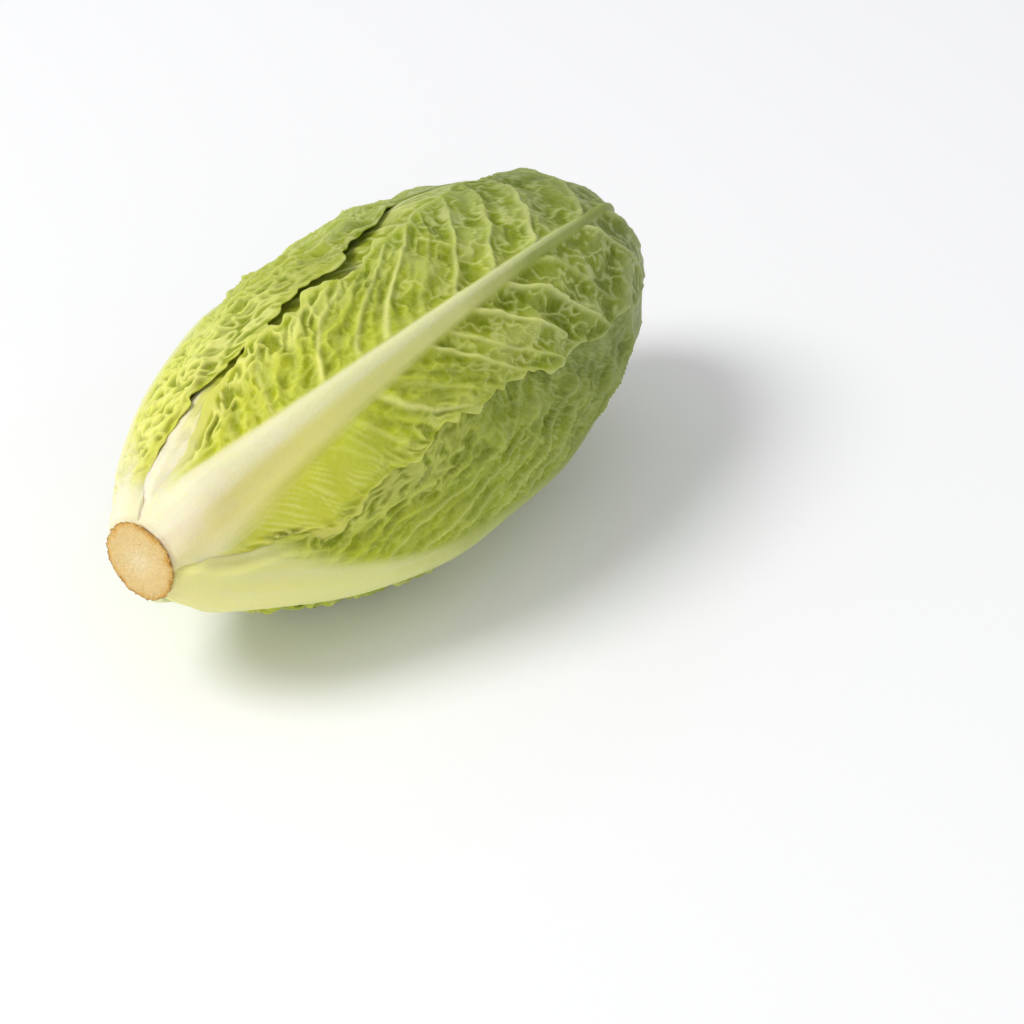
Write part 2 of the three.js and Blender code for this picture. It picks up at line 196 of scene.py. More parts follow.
FRILL = 1.2  # how far the edge waves up and down
FRILL_WAVE = 6
FRILL_IN = 7  # and how far inside the leaf that starts
NOTCH = 2.0  # how far the edge wanders in and out
NOTCH_WAVE = 4.5
EDGE_RUN = 0.6  # how much the widening of a leaf adds to the length of its edge
RIB_FADE = 0.25  # share of a leaf's length in which its rib narrows to a third
RIB_LEAST = 0.7  # reach of a rib at its tip
RIB_STOPS = 0.71  # share of a leaf's length at which its rib has sunk and lost its colour
RIB_SINKS = (RIB_STOPS - 0.12, RIB_STOPS + 0.06)
RIB_SUNK = 0.8  # share of its height that it loses
RIB_COLOUR_ENDS = (RIB_STOPS - 0.06, RIB_STOPS + 0.04)
BROAD = (1.2, 2.2)  # reaches of the far side of a rib between which it becomes a slope, not a round
FLUSH = 0.6  # how far the cut end of a leaf stands below the envelope, level with the rim of the disc
FLUSH_RUN = 4
GREEN_AT = 215  # length along a leaf at which it is fully green, and how much greener its edges are
GREEN_EDGE = 0.12
# the colour of veins also lies on raised crests as a painted highlight
VEIN_PALE = 0.85  # most that the colour of veins, that of dents and the pale edge cover the blade's own
# deeper green of the dents: partly the tissue's own, partly painted shade of the hollows
DENT_GREEN_AND_SHADE = 0.95
EDGE_PALE = 0.5
WEB_PALE = 0.12  # the same for the web of fine veins
CLOUD = 0.22  # how far the noise of each material changes a share that the mesh holds less half of this:
THREAD = 0.4  # clouds of green, threads on the flank of a rib, torn borders of the rib, stains of the cut end
TORN = 0.9
STAIN = 0.35
ROUNDED = 0.9  # how far a stalk rounds off to its edges
ROUNDED_SIDE = 3.5  # over this width
ROUNDED_ENDS = (20, 45)
EDGE_GAP = 0.5  # air under the very edge of a leaf, where the next one almost touches it
EDGE_REACH = -22  # and how far outside the edge it is as wide as between the solids: minus is inside
EDGE_WIDENS = (10, 40)  # places along a leaf between which both grow, from these shares of theirs
EDGE_GAP_FOOT = 0.3
EDGE_REACH_FOOT = 0.25
LIFT_SHARE = 0.6  # share of the lift of an edge that the leaf below it follows
SINK_STARTS = (4, 22)  # a leaf between two others sinks to SINK_LOW of its depth over the first length,
SINK_LOW = 0.4
SINK_DEEPENS = (32, 62)  # in full over the second, rises again over the third,
SINK_ENDS = (98, 145)
SINK_SIDE = (22, 38)  # and lies as its solid does further beside its rib


def smooth(start, end, value):
    """From 0 at `start` to 1 at `end`, which may be the lower of the two."""
    t = np.clip((value - start) / (end - start), 0, 1)
    return t * t * (3 - 2 * t)


def mix(a, b, t):
    return a + (b - a) * t


def bell(value, half):
    """A round ridge of height 1, about `half` wide on each side of 0."""
    return np.exp(-((value / half) ** 2))


# ---------------------------------------------------------------- noise in the plane, always the same

# Each pattern of a leaf adds a number of its own to the seed of the leaf
NOISE_SIDE = 256
SEED_STEP = 37
NOISE_GAIN = 1.6  # brings the noise to about -1 to 1
noise_table = np.random.default_rng(11).random((NOISE_SIDE, NOISE_SIDE, 3))


def lattice(x, y, seed, channel=0):
    """A number from 0 to 1 for each whole place of the plane."""
    step = SEED_STEP * int(seed)
    return noise_table[(x + step) % NOISE_SIDE, (y + 3 * step) % NOISE_SIDE, channel]


def slope_noise(x, y, ix, iy, seed):
    """Share of one corner of a square in the noise: a plane that slopes in a random direction."""
    turn = 2 * np.pi * lattice(ix, iy, seed)
    return np.cos(turn) * (x - ix) + np.sin(turn) * (y - iy)


def noise(x, y, seed):
    """Smooth noise of the plane, about -1 to 1, that crosses zero about once a unit."""
    x, y = np.broadcast_arrays(np.asarray(x, float), np.asarray(y, float))
    ix, iy = np.floor(x).astype(int), np.floor(y).astype(int)
    fx, fy = smooth(0, 1, x - ix), smooth(0, 1, y - iy)
    low = mix(slope_noise(x, y, ix, iy, seed), slope_noise(x, y, ix + 1, iy, seed), fx)
    high = mix(slope_noise(x, y, ix, iy + 1, seed), slope_noise(x, y, ix + 1, iy + 1, seed), fx)
    return NOISE_GAIN * mix(low, high, fy)


def cells(x, y, seed):
    """For a net of irregular cells: distance to the nearest wall, and a random number of the cell."""
    ix, iy = np.floor(x).astype(int), np.floor(y).astype(int)
    nearest = np.full(x.shape, np.inf)
    second = np.full(x.shape, np.inf)
    number = np.zeros(x.shape)
    for dx in (-1, 0, 1):
        for dy in (-1, 0, 1):
            cx, cy = ix + dx, iy + dy
            gap = np.hypot(cx + lattice(cx, cy, seed, 0) - x, cy + lattice(cx, cy, seed, 1) - y)
            closer = gap < nearest
            second = np.where(closer, nearest, np.minimum(second, gap))
            number = np.where(closer, lattice(cx, cy, seed, 2), number)
            nearest = np.minimum(nearest, gap)
    return second - nearest, number


# ---------------------------------------------------------------- envelope of the head


def shoulder(x):
    """Radius and slope of the head at x, from the butt to the belly."""
    t = np.maximum(x, 1e-3) / BELLY_X
    angle = np.pi / 2 * t**SHOULDER
    grow = BELLY_R - BUTT_R
    slope = grow * np.cos(angle) * np.pi / 2 * SHOULDER * t ** (SHOULDER - 1) / BELLY_X
    return BUTT_R + grow * np.sin(angle), slope


def meridian(lat):
    """x and radius of the envelope at a latitude, and the x and radial shares of a depth below it."""
    share = np.clip((BELLY_R * np.cos(lat) - BUTT_R) / (BELLY_R - BUTT_R), 0, 1)
    x = BELLY_X * (2 / np.pi * np.arcsin(share)) ** (1 / SHOULDER)
    slope = shoulder(x)[1]
    size = np.hypot(slope, 1)
    s, c = np.sin(np.maximum(lat, 0)), np.maximum(np.cos(lat), 0)
    k = (s**BLUNT + c**BLUNT) ** (-1 / BLUNT)
    below = lat < 0
    return SimpleNamespace(
        x=np.where(below, x, BELLY_X + DOME * k * s),
        r=np.where(below, BELLY_R * np.cos(lat), BELLY_R * k * c),
        nx=np.where(below, -slope / size, k * s),
        nr=np.where(below, 1 / size, k * c),
    )


def latitude_at(x):
    return -np.arccos(shoulder(x)[0] / BELLY_R)


def rib_table():
    """Angles along a rib and the length of the rib up to each, from the belly."""
    step, last = math.radians(0.5), math.radians(150)
    angles = np.arange(math.ceil(latitude_at(0) / step), round(last / step) + 1) * step
    place = meridian(np.minimum(angles, np.pi - angles))
    radius = np.where(angles > np.pi / 2, -place.r, place.r)
    lengths = np.concatenate([[0], np.cumsum(np.hypot(np.diff(place.x), np.diff(radius)))])
    return angles, lengths - np.interp(0, angles, lengths)


RIB_ANGLES, RIB_LENGTHS = rib_table()


def rib_length(angle):
    return np.interp(angle, RIB_ANGLES, RIB_LENGTHS)


def rib_angle(length):
    return np.interp(length, RIB_LENGTHS, RIB_ANGLES)


def stem_radius(x):
    return STEM_R * np.clip(1 - x / STEM_TIP, 0, 1) ** STEM_TAPER


# ---------------------------------------------------------------- leaves


def vein_roots(length, random):
    """Places along a rib where side veins leave it, further apart towards the tip."""
    places = [float(VEINS_START)]
    while places[-1] < length + VEINS_PAST:
        step = mix(VEIN_STEP_FOOT, VEIN_STEP_TIP, float(smooth(*VEIN_STEP_GROWS, places[-1] / length)))
        places.append(places[-1] + step * random.uniform(*VEIN_STEP_SPREAD))
    return np.array(places)


def leaf_of(name, seed, **own):
    """A leaf with its own sizes, and for the rest the sizes that most leaves share."""
    leaf = SimpleNamespace(
        name=name,
        seed=seed,
        kind="outer",
        widest=0.55,  # share of its length at which it is widest
        spread_less=52,  # length over which each side widens from the foot
        spread_more=52,
        bend=0,  # how far its rib leans aside
        snug=0.4,  # how closely it rises beside an edge that covers it, at its foot and further up
        tuck=1,
        lift=OUTER_LIFT,
        below=1.6,  # how far its foot runs on below its start
        ruffle=2,  # height of the ruffle of its edge
        rib=4.6,  # thickness, half width and place of the crest of its rib, and how much wider one side is
        rib_half=8,
        crest=0,
        wide=1,
        ridge_at=None,  # place of that crest here, if it isn't the same
        near_side=1.1,  # reach of the rib here on each side of the crest
        far_side=1.1,
        curled=0.3,  # share of winding ridges on the lower blade
        dented=0.6,  # depth of the single dents of the upper blade
        lined=0,  # 1 with a smooth strip beside the rib
        furrowed=0,  # 1 with a furrow along the rib
        veined=1,  # how strongly the pale veins show
        # on leaves lying underneath, the tint is partly painted shade
        tint=0,  # how much greener and how much paler it is
        pale=0,
        even=0.54,  # share of its rows below its widest place
        white_foot=13,  # height of the white foot, and how many times as high it is on the less side
        white_less=1,
        sallow=0,  # share of the colour of a flank all over its rib
        sunk=0,  # how far it lies deeper between the two leaves beside it
        trim_less=((0, 0),),  # places along each edge, and how far it is drawn in there from the solid's
        trim_more=((0, 0),),
    )
    leaf.__dict__.update(own)
    if leaf.ridge_at is None:
        leaf.ridge_at = leaf.crest
    leaf.start = float(rib_length(latitude_at(leaf.foot)))
    leaf.length = float(rib_length(math.radians(leaf.over))) - leaf.start
    leaf.scallops = 2 * math.pi * leaf.length / SCALLOP_WAVE
    random = np.random.default_rng(100 + seed)
    leaf.roots = [vein_roots(leaf.length, random) for _ in range(2)]
    return leaf


# "at" is a leaf's place round the head and "over" the latitude that its tip reaches, in degrees; "foot" is
# the height of its foot above the butt, and "grid" the columns and rows of its slab
outer_sizes = [
    dict(
        name="outer_leaf_front", at=128, foot=2, over=112, widest=0.6, bend=-4, less=33, more=28,
        foot_less=7.5, foot_more=9, spread_less=47, spread_more=34, rib=5.4, crest=-0.35, wide=1.7,
        near_side=0.85, far_side=2.3, lined=1, furrowed=1, white_foot=8, white_less=1.8, dented=0.3,
        even=0.58, grid=(130, 360),
        trim_less=((8, -1.5), (18, 1), (28, -1), (37, 3.5), (108, 3.5), (140, 0)),
        trim_more=((6, 0), (14, -2.5), (28, 0.8), (45, 2.2), (60, 4), (100, 4.5), (140, 0)),
    ),
    dict(
        name="outer_leaf_top", at=44, foot=2, over=84, widest=0.42, bend=-24, less=40, more=29,
        foot_less=10.4, foot_more=6, spread_more=70, rib=4.2, rib_half=7.5, ridge_at=-2.3, ruffle=1.2,
        near_side=0.7, far_side=0.7, white_foot=13, white_less=2.2, tint=0.06, curled=1, dented=0.9,
        even=0.41, grid=(132, 350),
        trim_more=((8, -1.5), (16, 0.7), (25, 2.5), (34, 1.7), (43, -1.5), (52, -0.5), (62, -0.5), (76, -4),
                   (97, -9), (118, -6), (140, -1)),
    ),
    dict(
        name="outer_leaf_under", at=292, foot=2.2, over=95, ruffle=3, less=42, more=40,
        # its tint of 0.42 is painted shade, as it lies under the others
        foot_less=8.5, foot_more=9.5, tint=0.42, grid=(110, 170),
        trim_less=((2, 0), (20, 12.5), (165, 12.5), (205, 0)),
    ),
    dict(
        name="outer_leaf_right", at=212, foot=2.2, over=88, less=44, more=37, foot_less=6.5, foot_more=7,
        # tint 0.15 and sallow 0.75: partly its own olive, partly painted shade of a leaf under the front one
        spread_less=75, rib_half=9, near_side=2.4, far_side=1.8, tuck=0.5, tint=0.15, veined=0.5,
        sallow=0.75, white_foot=5, grid=(140, 250),
        trim_less=((0, -2), (10, -9), (140, -9), (175, 0)),
    ),
    dict(
        name="outer_leaf_gap", at=68, foot=7, over=86, less=36, more=42, foot_less=4.5, foot_more=6,
        rib=3, rib_half=5, near_side=0.8, far_side=0.8, tuck=0.4, below=6.4, white_foot=30, sunk=3,
        grid=(100, 190),
    ),
    dict(
        name="outer_leaf_back", at=350, foot=15, over=88, less=39, more=38, foot_less=7, foot_more=7,
        below=13.5, pale=0.1, grid=(120, 190),
    ),
]


def all_leaves():
    """The leaves of the head, outermost first."""
    leaves = []
    for i, sizes in enumerate(outer_sizes):
        close = dict(snug=BIG_SNUG) if i < BIG_LEAVES else {}
        leaves.append(leaf_of(seed=i, **close, **sizes))
    count = INNER_LEAVES + HEART_LEAVES
    for i in range(count):
        heart = i >= INNER_LEAVES
        share = i / (count - 1)
        number = i - INNER_LEAVES + 1 if heart else i + 1
        width, foot = mix(37, 46, share), mix(9, 7, share)
        leaves.append(leaf_of(
            name=("heart_leaf_" if heart else "inner_leaf_") + f"{number:02d}", seed=len(outer_sizes) + i,
            kind="heart" if heart else "inner", lift=INNER_LIFT, at=(FIRST_INNER_AT + GOLDEN * i) % 360,
            foot=mix(22, 70, share), over=mix(73, 45, share) + i % 3, less=width, more=width,
            rib=mix(3.4, 1.4, share), rib_half=mix(6.5, 4, share), foot_less=foot, foot_more=foot,
            spread_less=54, spread_more=54, below=0, pale=mix(0.35, 0.8, share), grid=(34, 60),
        ))
    return leaves


LEAVES = all_leaves()


def lean(leaf, angle):
    return leaf.bend * smooth(*LEANS, angle) / BELLY_R


def half_width(leaf, t, across):
    """Half width of a leaf at share t of its length, on the side that `across` is on."""
    wave = np.sin(leaf.scallops * t + leaf.seed + np.where(across < 0, 0, 2))
    full = np.where(across < 0, leaf.less, leaf.more) * (1 + SCALLOP * wave)
    foot = np.where(across < 0, leaf.foot_less, leaf.foot_more)
    spread = np.where(across < 0, leaf.spread_less, leaf.spread_more)
    below = mix(foot, full, smooth(0, spread, t * leaf.length))
    past = np.clip((t - leaf.widest) / (1 - leaf.widest), 0, 1)
    return np.where(t < leaf.widest, below, full * np.sqrt(1 - past**TIP_ROUND))


def levelled(along):
    return smooth(0, LEVEL_FOOT, along)


def direction_of(leaf, angle, across):
    """A direction on the unit sphere from a leaf's own place: an angle along its rib, and one beside it."""
    b = across + lean(leaf, angle)
    up = np.cos(angle) * np.cos(b)
    c, s = math.cos(math.radians(leaf.at)), math.sin(math.radians(leaf.at))
    return np.array([np.sin(angle) * np.cos(b), up * c - np.sin(b) * s, up * s + np.sin(b) * c])


def place_on(leaf, q):
    """Where a direction is on a leaf, in mm along its rib and beside it."""
    c, s = math.cos(math.radians(leaf.at)), math.sin(math.radians(leaf.at))
    turn = np.arctan2(q[0], q[1] * c + q[2] * s)
    level = np.arcsin(np.clip(q[0], -1, 1))
    angle = mix(level, turn, levelled(rib_length(level) - leaf.start))
    across = np.arcsin(np.clip(q[2] * c - q[1] * s, -1, 1)) - lean(leaf, angle)
    behind = turn < -np.pi / 2
    along = np.where(behind, -BELLY_X, rib_length(angle) - leaf.start)
    return along, np.where(behind, BELLY_X, across * BELLY_R)


def outside(leaf, along, beside):
    """How far outside its edge a place is: negative on the leaf."""
    t = along / leaf.length
    out = np.abs(beside) - half_width(leaf, np.clip(t, 0, leaf.widest), beside)
    full = np.where(beside < 0, leaf.less, leaf.more)
    past = np.maximum((t - leaf.widest) / (1 - leaf.widest), 0)
    beyond = (np.sqrt((beside / full) ** 2 + past**TIP_ROUND) - 1 - SCALLOP) * full
    return np.where(t < 0, np.maximum(-along, out), np.where(t < leaf.widest, out, beyond))


def trimmed(leaf, along, beside):
    """How far the edge of a leaf is drawn in from the edge of its solid, or out where it is negative."""
    less, more = (np.interp(along, *zip(*places)) for places in (leaf.trim_less, leaf.trim_more))
    return np.where(beside < 0, less, more)


def cover(leaf, along, beside, tuck):
    """Share of a place that a leaf presses down. A leaf with little tuck rises close to the covering edge."""
    near = mix(min(leaf.snug, tuck), tuck, smooth(0, SNUG_FOOT, along))
    out = outside(leaf, along, beside) + trimmed(leaf, along, beside)
    return 1 - smooth(MARGIN * near, (MARGIN + FADE) * near, out)


def rib_half_at(leaf, t, beside):
    """Half width of the rib of the solid."""
    wide = leaf.rib_half * (1 - t) ** RIB_HALF_TAPER + RIB_HALF_TIP
    return np.minimum(wide, RIB_MOST * half_width(leaf, np.minimum(t, RIB_MOST_TO), beside))


def rib_at(leaf, along, beside, spread=1.0):
    """Thickness of the rib of the solid: thick and wide at the foot, fine at the tip."""
    t = np.clip(along / leaf.length, 0, 1)
    shift = beside / rib_half_at(leaf, t, beside) - leaf.crest
    reach = np.where(shift > 0, shift / leaf.wide, shift) / spread
    thin_foot = 1 - RIB_THIN * (1 - smooth(0, RIB_THIN_RUN, t))
    return (leaf.rib * (1 - t) ** RIB_TAPER * thin_foot + RIB_EDGE) / (1 + reach**4)


def waves(leaf, along, beside, length):
    """Waves of a seeded leaf: a few sines across each other, from 0 to 1."""
    k = 2 * math.pi / length
    p = leaf.seed * 2.4
    one = np.sin(k * along + p + 0.9 * np.sin(k * 0.6 * beside + 2 * p))
    two = np.sin(k * 0.7 * beside - k * 0.55 * along + 1.7 * p)
    return 0.5 + 0.25 * (one + two)


def crumple(leaf, along, lat):
    """How far an inner leaf may fold in and out."""
    if leaf.kind == "outer":
        return 0 * along
    return CRUMPLE * smooth(*CRUMPLE_STARTS, along) * (1 - smooth(*CRUMPLE_ENDS, lat))


def rib_peak(leaf, along):
    """Height of the crest of the rib, which sinks into the blade near the tip."""
    t = np.clip(along / leaf.length, 0, 1)
    sunk = RIB_SUNK * smooth(*RIB_SINKS, t)
    return (leaf.rib * (1 - t) ** RIB_TAPER + RIB_EDGE) * (1 - sunk)


def rib_side(leaf, along, beside):
    """How far a place is from the crest of the rib, as a share of the reach of the rib on that side."""
    t = np.clip(along / leaf.length, 0, 1)
    off = beside - leaf.ridge_at * rib_half_at(leaf, t, beside)
    share = np.where(off < 0, leaf.near_side, leaf.far_side)
    return off / (RIB_LEAST + leaf.rib_half * share * np.exp(-t / RIB_FADE))


ROUND_SIDE = 1.15  # how soon the round side of a rib drops, and the slope of a broad one, with its end
SLOPE_DROPS = 0.8
SLOPE_RUN = (0, 1.05)
SLOPE_ENDS = (0.8, 1.2)


def ridge(leaf, along, beside):
    """Share of the height of the rib: round on one side, and a slope down to the blade on a broad side."""
    side = rib_side(leaf, along, beside)
    broad = smooth(*BROAD, leaf.far_side)
    round_side = 1 / (1 + (ROUND_SIDE * np.abs(side)) ** 4)
    slope = (1 - SLOPE_DROPS * smooth(*SLOPE_RUN, side)) * (1 - smooth(*SLOPE_ENDS, side))
    return np.where(side > 0, mix(round_side, slope, broad), round_side)


def furrow(leaf, along, beside):
    """Share of the furrow that runs beside the crest of a broad rib, near the foot."""
    here = bell(rib_side(leaf, along, beside) - FURROW_AT, FURROW_HALF)
    return here * leaf.furrowed * smooth(*FURROW_STARTS, along) * (1 - smooth(*FURROW_ENDS, along))


RUFFLED_SIDE = (-16, -1)  # the ruffle of an edge rises between these distances outside it: minus is inside,
RUFFLED_FROM = (25, 95)  # between these places along it,
RUFFLED_TO = (0.62, 0.85)  # and loses RUFFLE_LOST between these shares of the length
RUFFLE_LOST = 0.8
RUFFLE_LEAST = 0.25
RUFFLE_WAVED = 1.1
QUILT_STARTS = (18, 60)


def swell(leaf, along, beside):
    """How far an uncovered place stands out: the rib, a slow wave, and an edge that lifts and ruffles."""
    out = outside(leaf, along, beside) + trimmed(leaf, along, beside)
    edge = smooth(*RUFFLED_SIDE, out) * smooth(*RUFFLED_FROM, along)
    edge = edge * (1 - RUFFLE_LOST * smooth(*RUFFLED_TO, along / leaf.length))
    ruffle = leaf.ruffle * edge * (RUFFLE_LEAST + RUFFLE_WAVED * waves(leaf, along, beside, RUFFLE_WAVE))
    quilt = QUILT * smooth(*QUILT_STARTS, along) * waves(leaf, along, beside, QUILT_WAVE)
    rise = RIB_OUT * smooth(0, RIB_FOOT, along) * rib_peak(leaf, along)
    groove = FURROW * furrow(leaf, along, beside)
    return rise * ridge(leaf, along, beside) - groove + ruffle + quilt * (1 - edge)


def solid_swell(leaf, along, beside):
    """The same with the rib as wide as its solid has it, for the inner face."""
    wider = rib_at(leaf, along, beside) - rib_peak(leaf, along) * ridge(leaf, along, beside)
    return swell(leaf, along, beside) + RIB_OUT * smooth(0, RIB_FOOT, along) * wider


def sinking(leaf, along, beside):
    """How far a leaf lies deeper between the two that leave it bare."""
    deepens = mix(SINK_LOW * smooth(*SINK_STARTS, along), 1, smooth(*SINK_DEEPENS, along))
    return leaf.sunk * deepens * (1 - smooth(*SINK_ENDS, along)) * (1 - smooth(*SINK_SIDE, np.abs(beside)))


def lay_down(n, q):
    """Depth of the faces of leaf number n at directions q, its place there, and how bare it is."""
    lat = np.arcsin(np.clip(q[0], -1, 1))
    m = meridian(lat)
    nr = np.maximum(m.nr, STEEPEST)
    sine = q[2] / np.maximum(np.hypot(q[1], q[2]), 1e-6)
    pressed = np.maximum(0, (m.r + AXIS_Z / np.minimum(sine, -1e-6)) / nr)
    front = np.where(sine < 0, pressed, 0)
    stem_depth = (m.r - stem_radius(m.x) - STEM_CLEAR) / nr
    bare = np.ones_like(lat)
    shown = np.ones_like(lat)
    tucked = np.zeros_like(lat)
    for leaf in LEAVES[: n + 1]:
        along, beside = place_on(leaf, q)
        thick = BLADE + rib_at(leaf, along, beside)
        held = 1 - smooth(0, leaf.lift, along)
        depth = front + held * np.maximum(0, stem_depth - thick - front) + sinking(leaf, along, beside)
        out = outside(leaf, along, beside) + trimmed(leaf, along, beside)
        if leaf is not LEAVES[n]:
            covered = cover(leaf, along, beside, LEAVES[n].tuck)
            widened = smooth(*EDGE_WIDENS, along)
            deep = smooth(0, EDGE_REACH * mix(EDGE_REACH_FOOT, 1, widened), out)
            room = BLADE + rib_at(leaf, along, beside, ROOM_SPREAD) + crumple(leaf, along, lat) + GAP
            tight = EDGE + EDGE_GAP * mix(EDGE_GAP_FOOT, 1, widened)
            under = front + tight - LIFT_SHARE * bare**3 * swell(leaf, along, beside)
            front = front + covered * (mix(under, depth + room, deep) - front)
            bare = bare * (1 - covered)
            shown = shown * (1 - covered * deep)
            tucked = np.maximum(tucked, covered * (1 - deep))
    rounded = ROUNDED * (1 - smooth(*ROUNDED_ENDS, along)) * (1 - smooth(0, ROUNDED_SIDE, -out))
    flush = front + FLUSH * (1 - smooth(0, FLUSH_RUN, along)) + rounded + sinking(leaf, along, beside)
    return SimpleNamespace(
        m=m,
        lat=lat,
        top=mix(depth, flush, shown),
        low=depth + thick,
        bare=bare,
        tucked=tucked,
        along=along,
        beside=beside,
    )


def point_at(m, q, depth, least):
    """Points at a depth below the envelope, in metres, in the frame of the whole object."""
    size = np.maximum(np.hypot(q[1], q[2]), 1e-6)
    r = m.r - depth * m.nr
    z = np.maximum(AXIS_Z + r * q[2] / size, least)
    return np.array([BUTT_X + m.x - depth * m.nx, AXIS_Y + r * q[1] / size, z]).T * MM


# ---------------------------------------------------------------- relief of a leaf


def side_veins(leaf, along, beside, far):
    """The side veins: a coordinate that runs across them, how high they stand, and the sag between them."""
    b = np.abs(beside)
    wander = VEIN_WANDER * noise(along / VEIN_WANDER_STEP, beside / VEIN_WANDER_STEP, leaf.seed)
    twist = VEIN_TWIST * noise(along / VEIN_TWIST_STEP, beside / VEIN_TWIST_STEP, leaf.seed + 5)
    leant = b * VEIN_LEAN * smooth(*VEIN_GROWS, along)
    curled = VEIN_CURL * np.clip(b - VEIN_CURL_FROM, 0, VEIN_CURL_RUN) ** 2
    p = along - leant - curled + (wander + twist)
    height = np.zeros_like(p)
    sag = np.zeros_like(p)
    wider = 1 + VEIN_WIDER * smooth(*VEIN_GROWS, along)
    half = VEIN_HALF * mix(VEIN_HALF_RIB, VEIN_HALF_EDGE, far) * wider
    for side, roots in zip((-1, 1), leaf.roots):
        i = np.clip(np.searchsorted(roots, p), 1, len(roots) - 1)
        span = roots[i] - roots[i - 1]
        phase = np.clip((p - roots[i - 1]) / span, 0, 1)
        off = np.minimum(phase, 1 - phase) * span
        nearest = np.where(phase < 0.5, i - 1, i)
        tall = mix(VEIN_LEAST, VEIN_MOST, lattice(nearest, 0, leaf.seed + 90))
        branch = BRANCH * bell((phase - 0.5) * span, BRANCH_HALF * half) * smooth(*BRANCH_STARTS, far)
        here = (beside < 0) == (side < 0)
        height = np.where(here, np.maximum(tall * bell(off, half), branch), height)
        sag = np.where(here, np.sin(np.pi * phase) ** SAG_ROUND * np.minimum(span / SAG_SPAN, 1), sag)
    return p, height * (1 - VEIN_THINS * far), sag


SLOW_STEP = 11  # step of the slow noise that bends folds and lines, and the end of the white foot
FOLD_BEND_RIB = 0.3  # how far it bends the folds, at the rib and at the edge, as a share of their step
FOLD_BEND_EDGE = 0.8
FOLD_EVEN = 0.65  # height that every fold has, and what noise of these steps adds
FOLD_UNEVEN = 0.5
FOLD_ALONG = 6
FOLD_BESIDE = 10
CURLS_CROSS = 0.75  # 1 where a pattern runs across the leaf, 0 where it follows the side veins
NET_CROSSES = 0.5
POCKET_WALL = (0.05, 0.8)  # distances from the walls of a cell between which its pocket goes down
POCKET_LEAST = 0.5
LINE_SLOW = 1.2  # how far the fine lines stray with the slow noise and with noise of these steps of their own
LINE_STRAY = 1.4
LINE_ALONG = 5
LINE_BESIDE = 9
LINE_BROKEN = (-0.5, 0.4)


def patterns(leaf, along, beside, far):
    """The patterns that the relief is made of, each in its own measure."""
    b = np.abs(beside)
    seed = leaf.seed
    p, vein, sag = side_veins(leaf, along, beside, far)
    slow = noise(along / SLOW_STEP, beside / SLOW_STEP, seed + 3)
    fold = np.abs(np.sin(np.pi * (p / FOLD_STEP + mix(FOLD_BEND_RIB, FOLD_BEND_EDGE, far) * slow)))
    uneven = FOLD_EVEN + FOLD_UNEVEN * noise(along / FOLD_ALONG, beside / FOLD_BESIDE, seed + 6)
    warp = [
        WARP * noise(along / WARP_STEP + shift, beside / WARP_STEP, seed + 9) for shift in (0, WARP_SHIFT)
    ]
    across_curls = mix(p, along, CURLS_CROSS * leaf.curled) / CURL_STEP + warp[0]
    wind = noise(across_curls, beside / (CURL_LONG * CURL_STEP) + warp[1], seed + 20)
    across_net = mix(p, along, NET_CROSSES) / NET_STEP + warp[0]
    wall, number = cells(across_net, beside / NET_STEP + warp[1], seed + 30)
    pit = noise(along / (DENT_LONG * DENT_STEP) + warp[0], beside / DENT_STEP + warp[1], seed + 40)
    broken = noise(along / LINE_ALONG, b / LINE_BESIDE, seed + 50)
    stray = LINE_SLOW * slow + LINE_STRAY * noise(along / LINE_ALONG, b / LINE_BESIDE, seed + 55)
    lines = np.cos(np.pi * (along - LINE_LEAN * b + stray) / LINE_STEP) ** 4
    return SimpleNamespace(
        vein=vein,
        sag=sag,
        slow=slow,
        fold=(1 - 2 * fold**FOLD_SHARP) * uneven,
        wind=np.abs(wind),
        curl=bell(wind, CURL_HALF),
        net=bell(wall * NET_STEP, NET_HALF),
        pocket=smooth(*POCKET_WALL, wall) * (POCKET_LEAST + number),
        pit=smooth(*DENT_EDGES, np.abs(pit)),
        billow=noise(along / BILLOW_ALONG, beside / BILLOW_BESIDE, seed + 7),
        lines=lines * smooth(*LINE_BROKEN, broken),
    )


FRILL_STARTS = (8, 30)  # the edge waves between these places along a leaf, and loses EDGE_CALM of it
FRILL_CALMS = (0.35, 0.6)  # between these shares of the length
EDGE_CALM = 0.85
FRILL_SHARP = 1.5
FRILL_OUT = 0.15  # how much more it waves out than in
FRILL_ROWS = (0.5, 57.5)  # rows of the noise that the two edges of a leaf read


def frill(leaf, along, beside, inside):
    """How far the edge waves up and down."""
    run = (along + EDGE_RUN * np.abs(beside)) / FRILL_WAVE
    wave = noise(run, np.where(beside < 0, *FRILL_ROWS), leaf.seed + 60) + FRILL_OUT
    calm = 1 - EDGE_CALM * smooth(*FRILL_CALMS, np.clip(along / leaf.length, 0, 1))
    near = (1 - smooth(0, FRILL_IN, inside)) ** FRILL_SHARP
    return FRILL * near * wave * smooth(*FRILL_STARTS, along) * calm


WHITE_SIDES = (5, -4)  # places beside the rib between which the height of the white foot changes
WHITE_STARTS = 0.4  # it goes over to green between these shares of its height, and waves this far up and down
WHITE_ENDS = 1.5
WHITE_WAVES = 4
RIB_BORDER = (0.75, 1.3)  # shares of its reach between which the colour of a rib ends
FLANK_STARTS = (0.4, 1.2)  # shares of its reach between which its flank starts, and those of a broad rib,
BROAD_FLANK_STARTS = (0.06, 0.36)
BROAD_FLANK_FROM = (6, 30)  # whose flank has only its furrow at the foot
BROADER = 0.6  # what a broad rib has more on its far side
WHITE_KEEPS = 0.35  # share of the flank that the white foot takes from a furrowed rib
STREAK = 0.3  # streaks of the flank, their length and width, and where they start
STREAK_LONG = 90
STREAK_WIDE = 2.6
STREAK_STARTS = (2, 20)


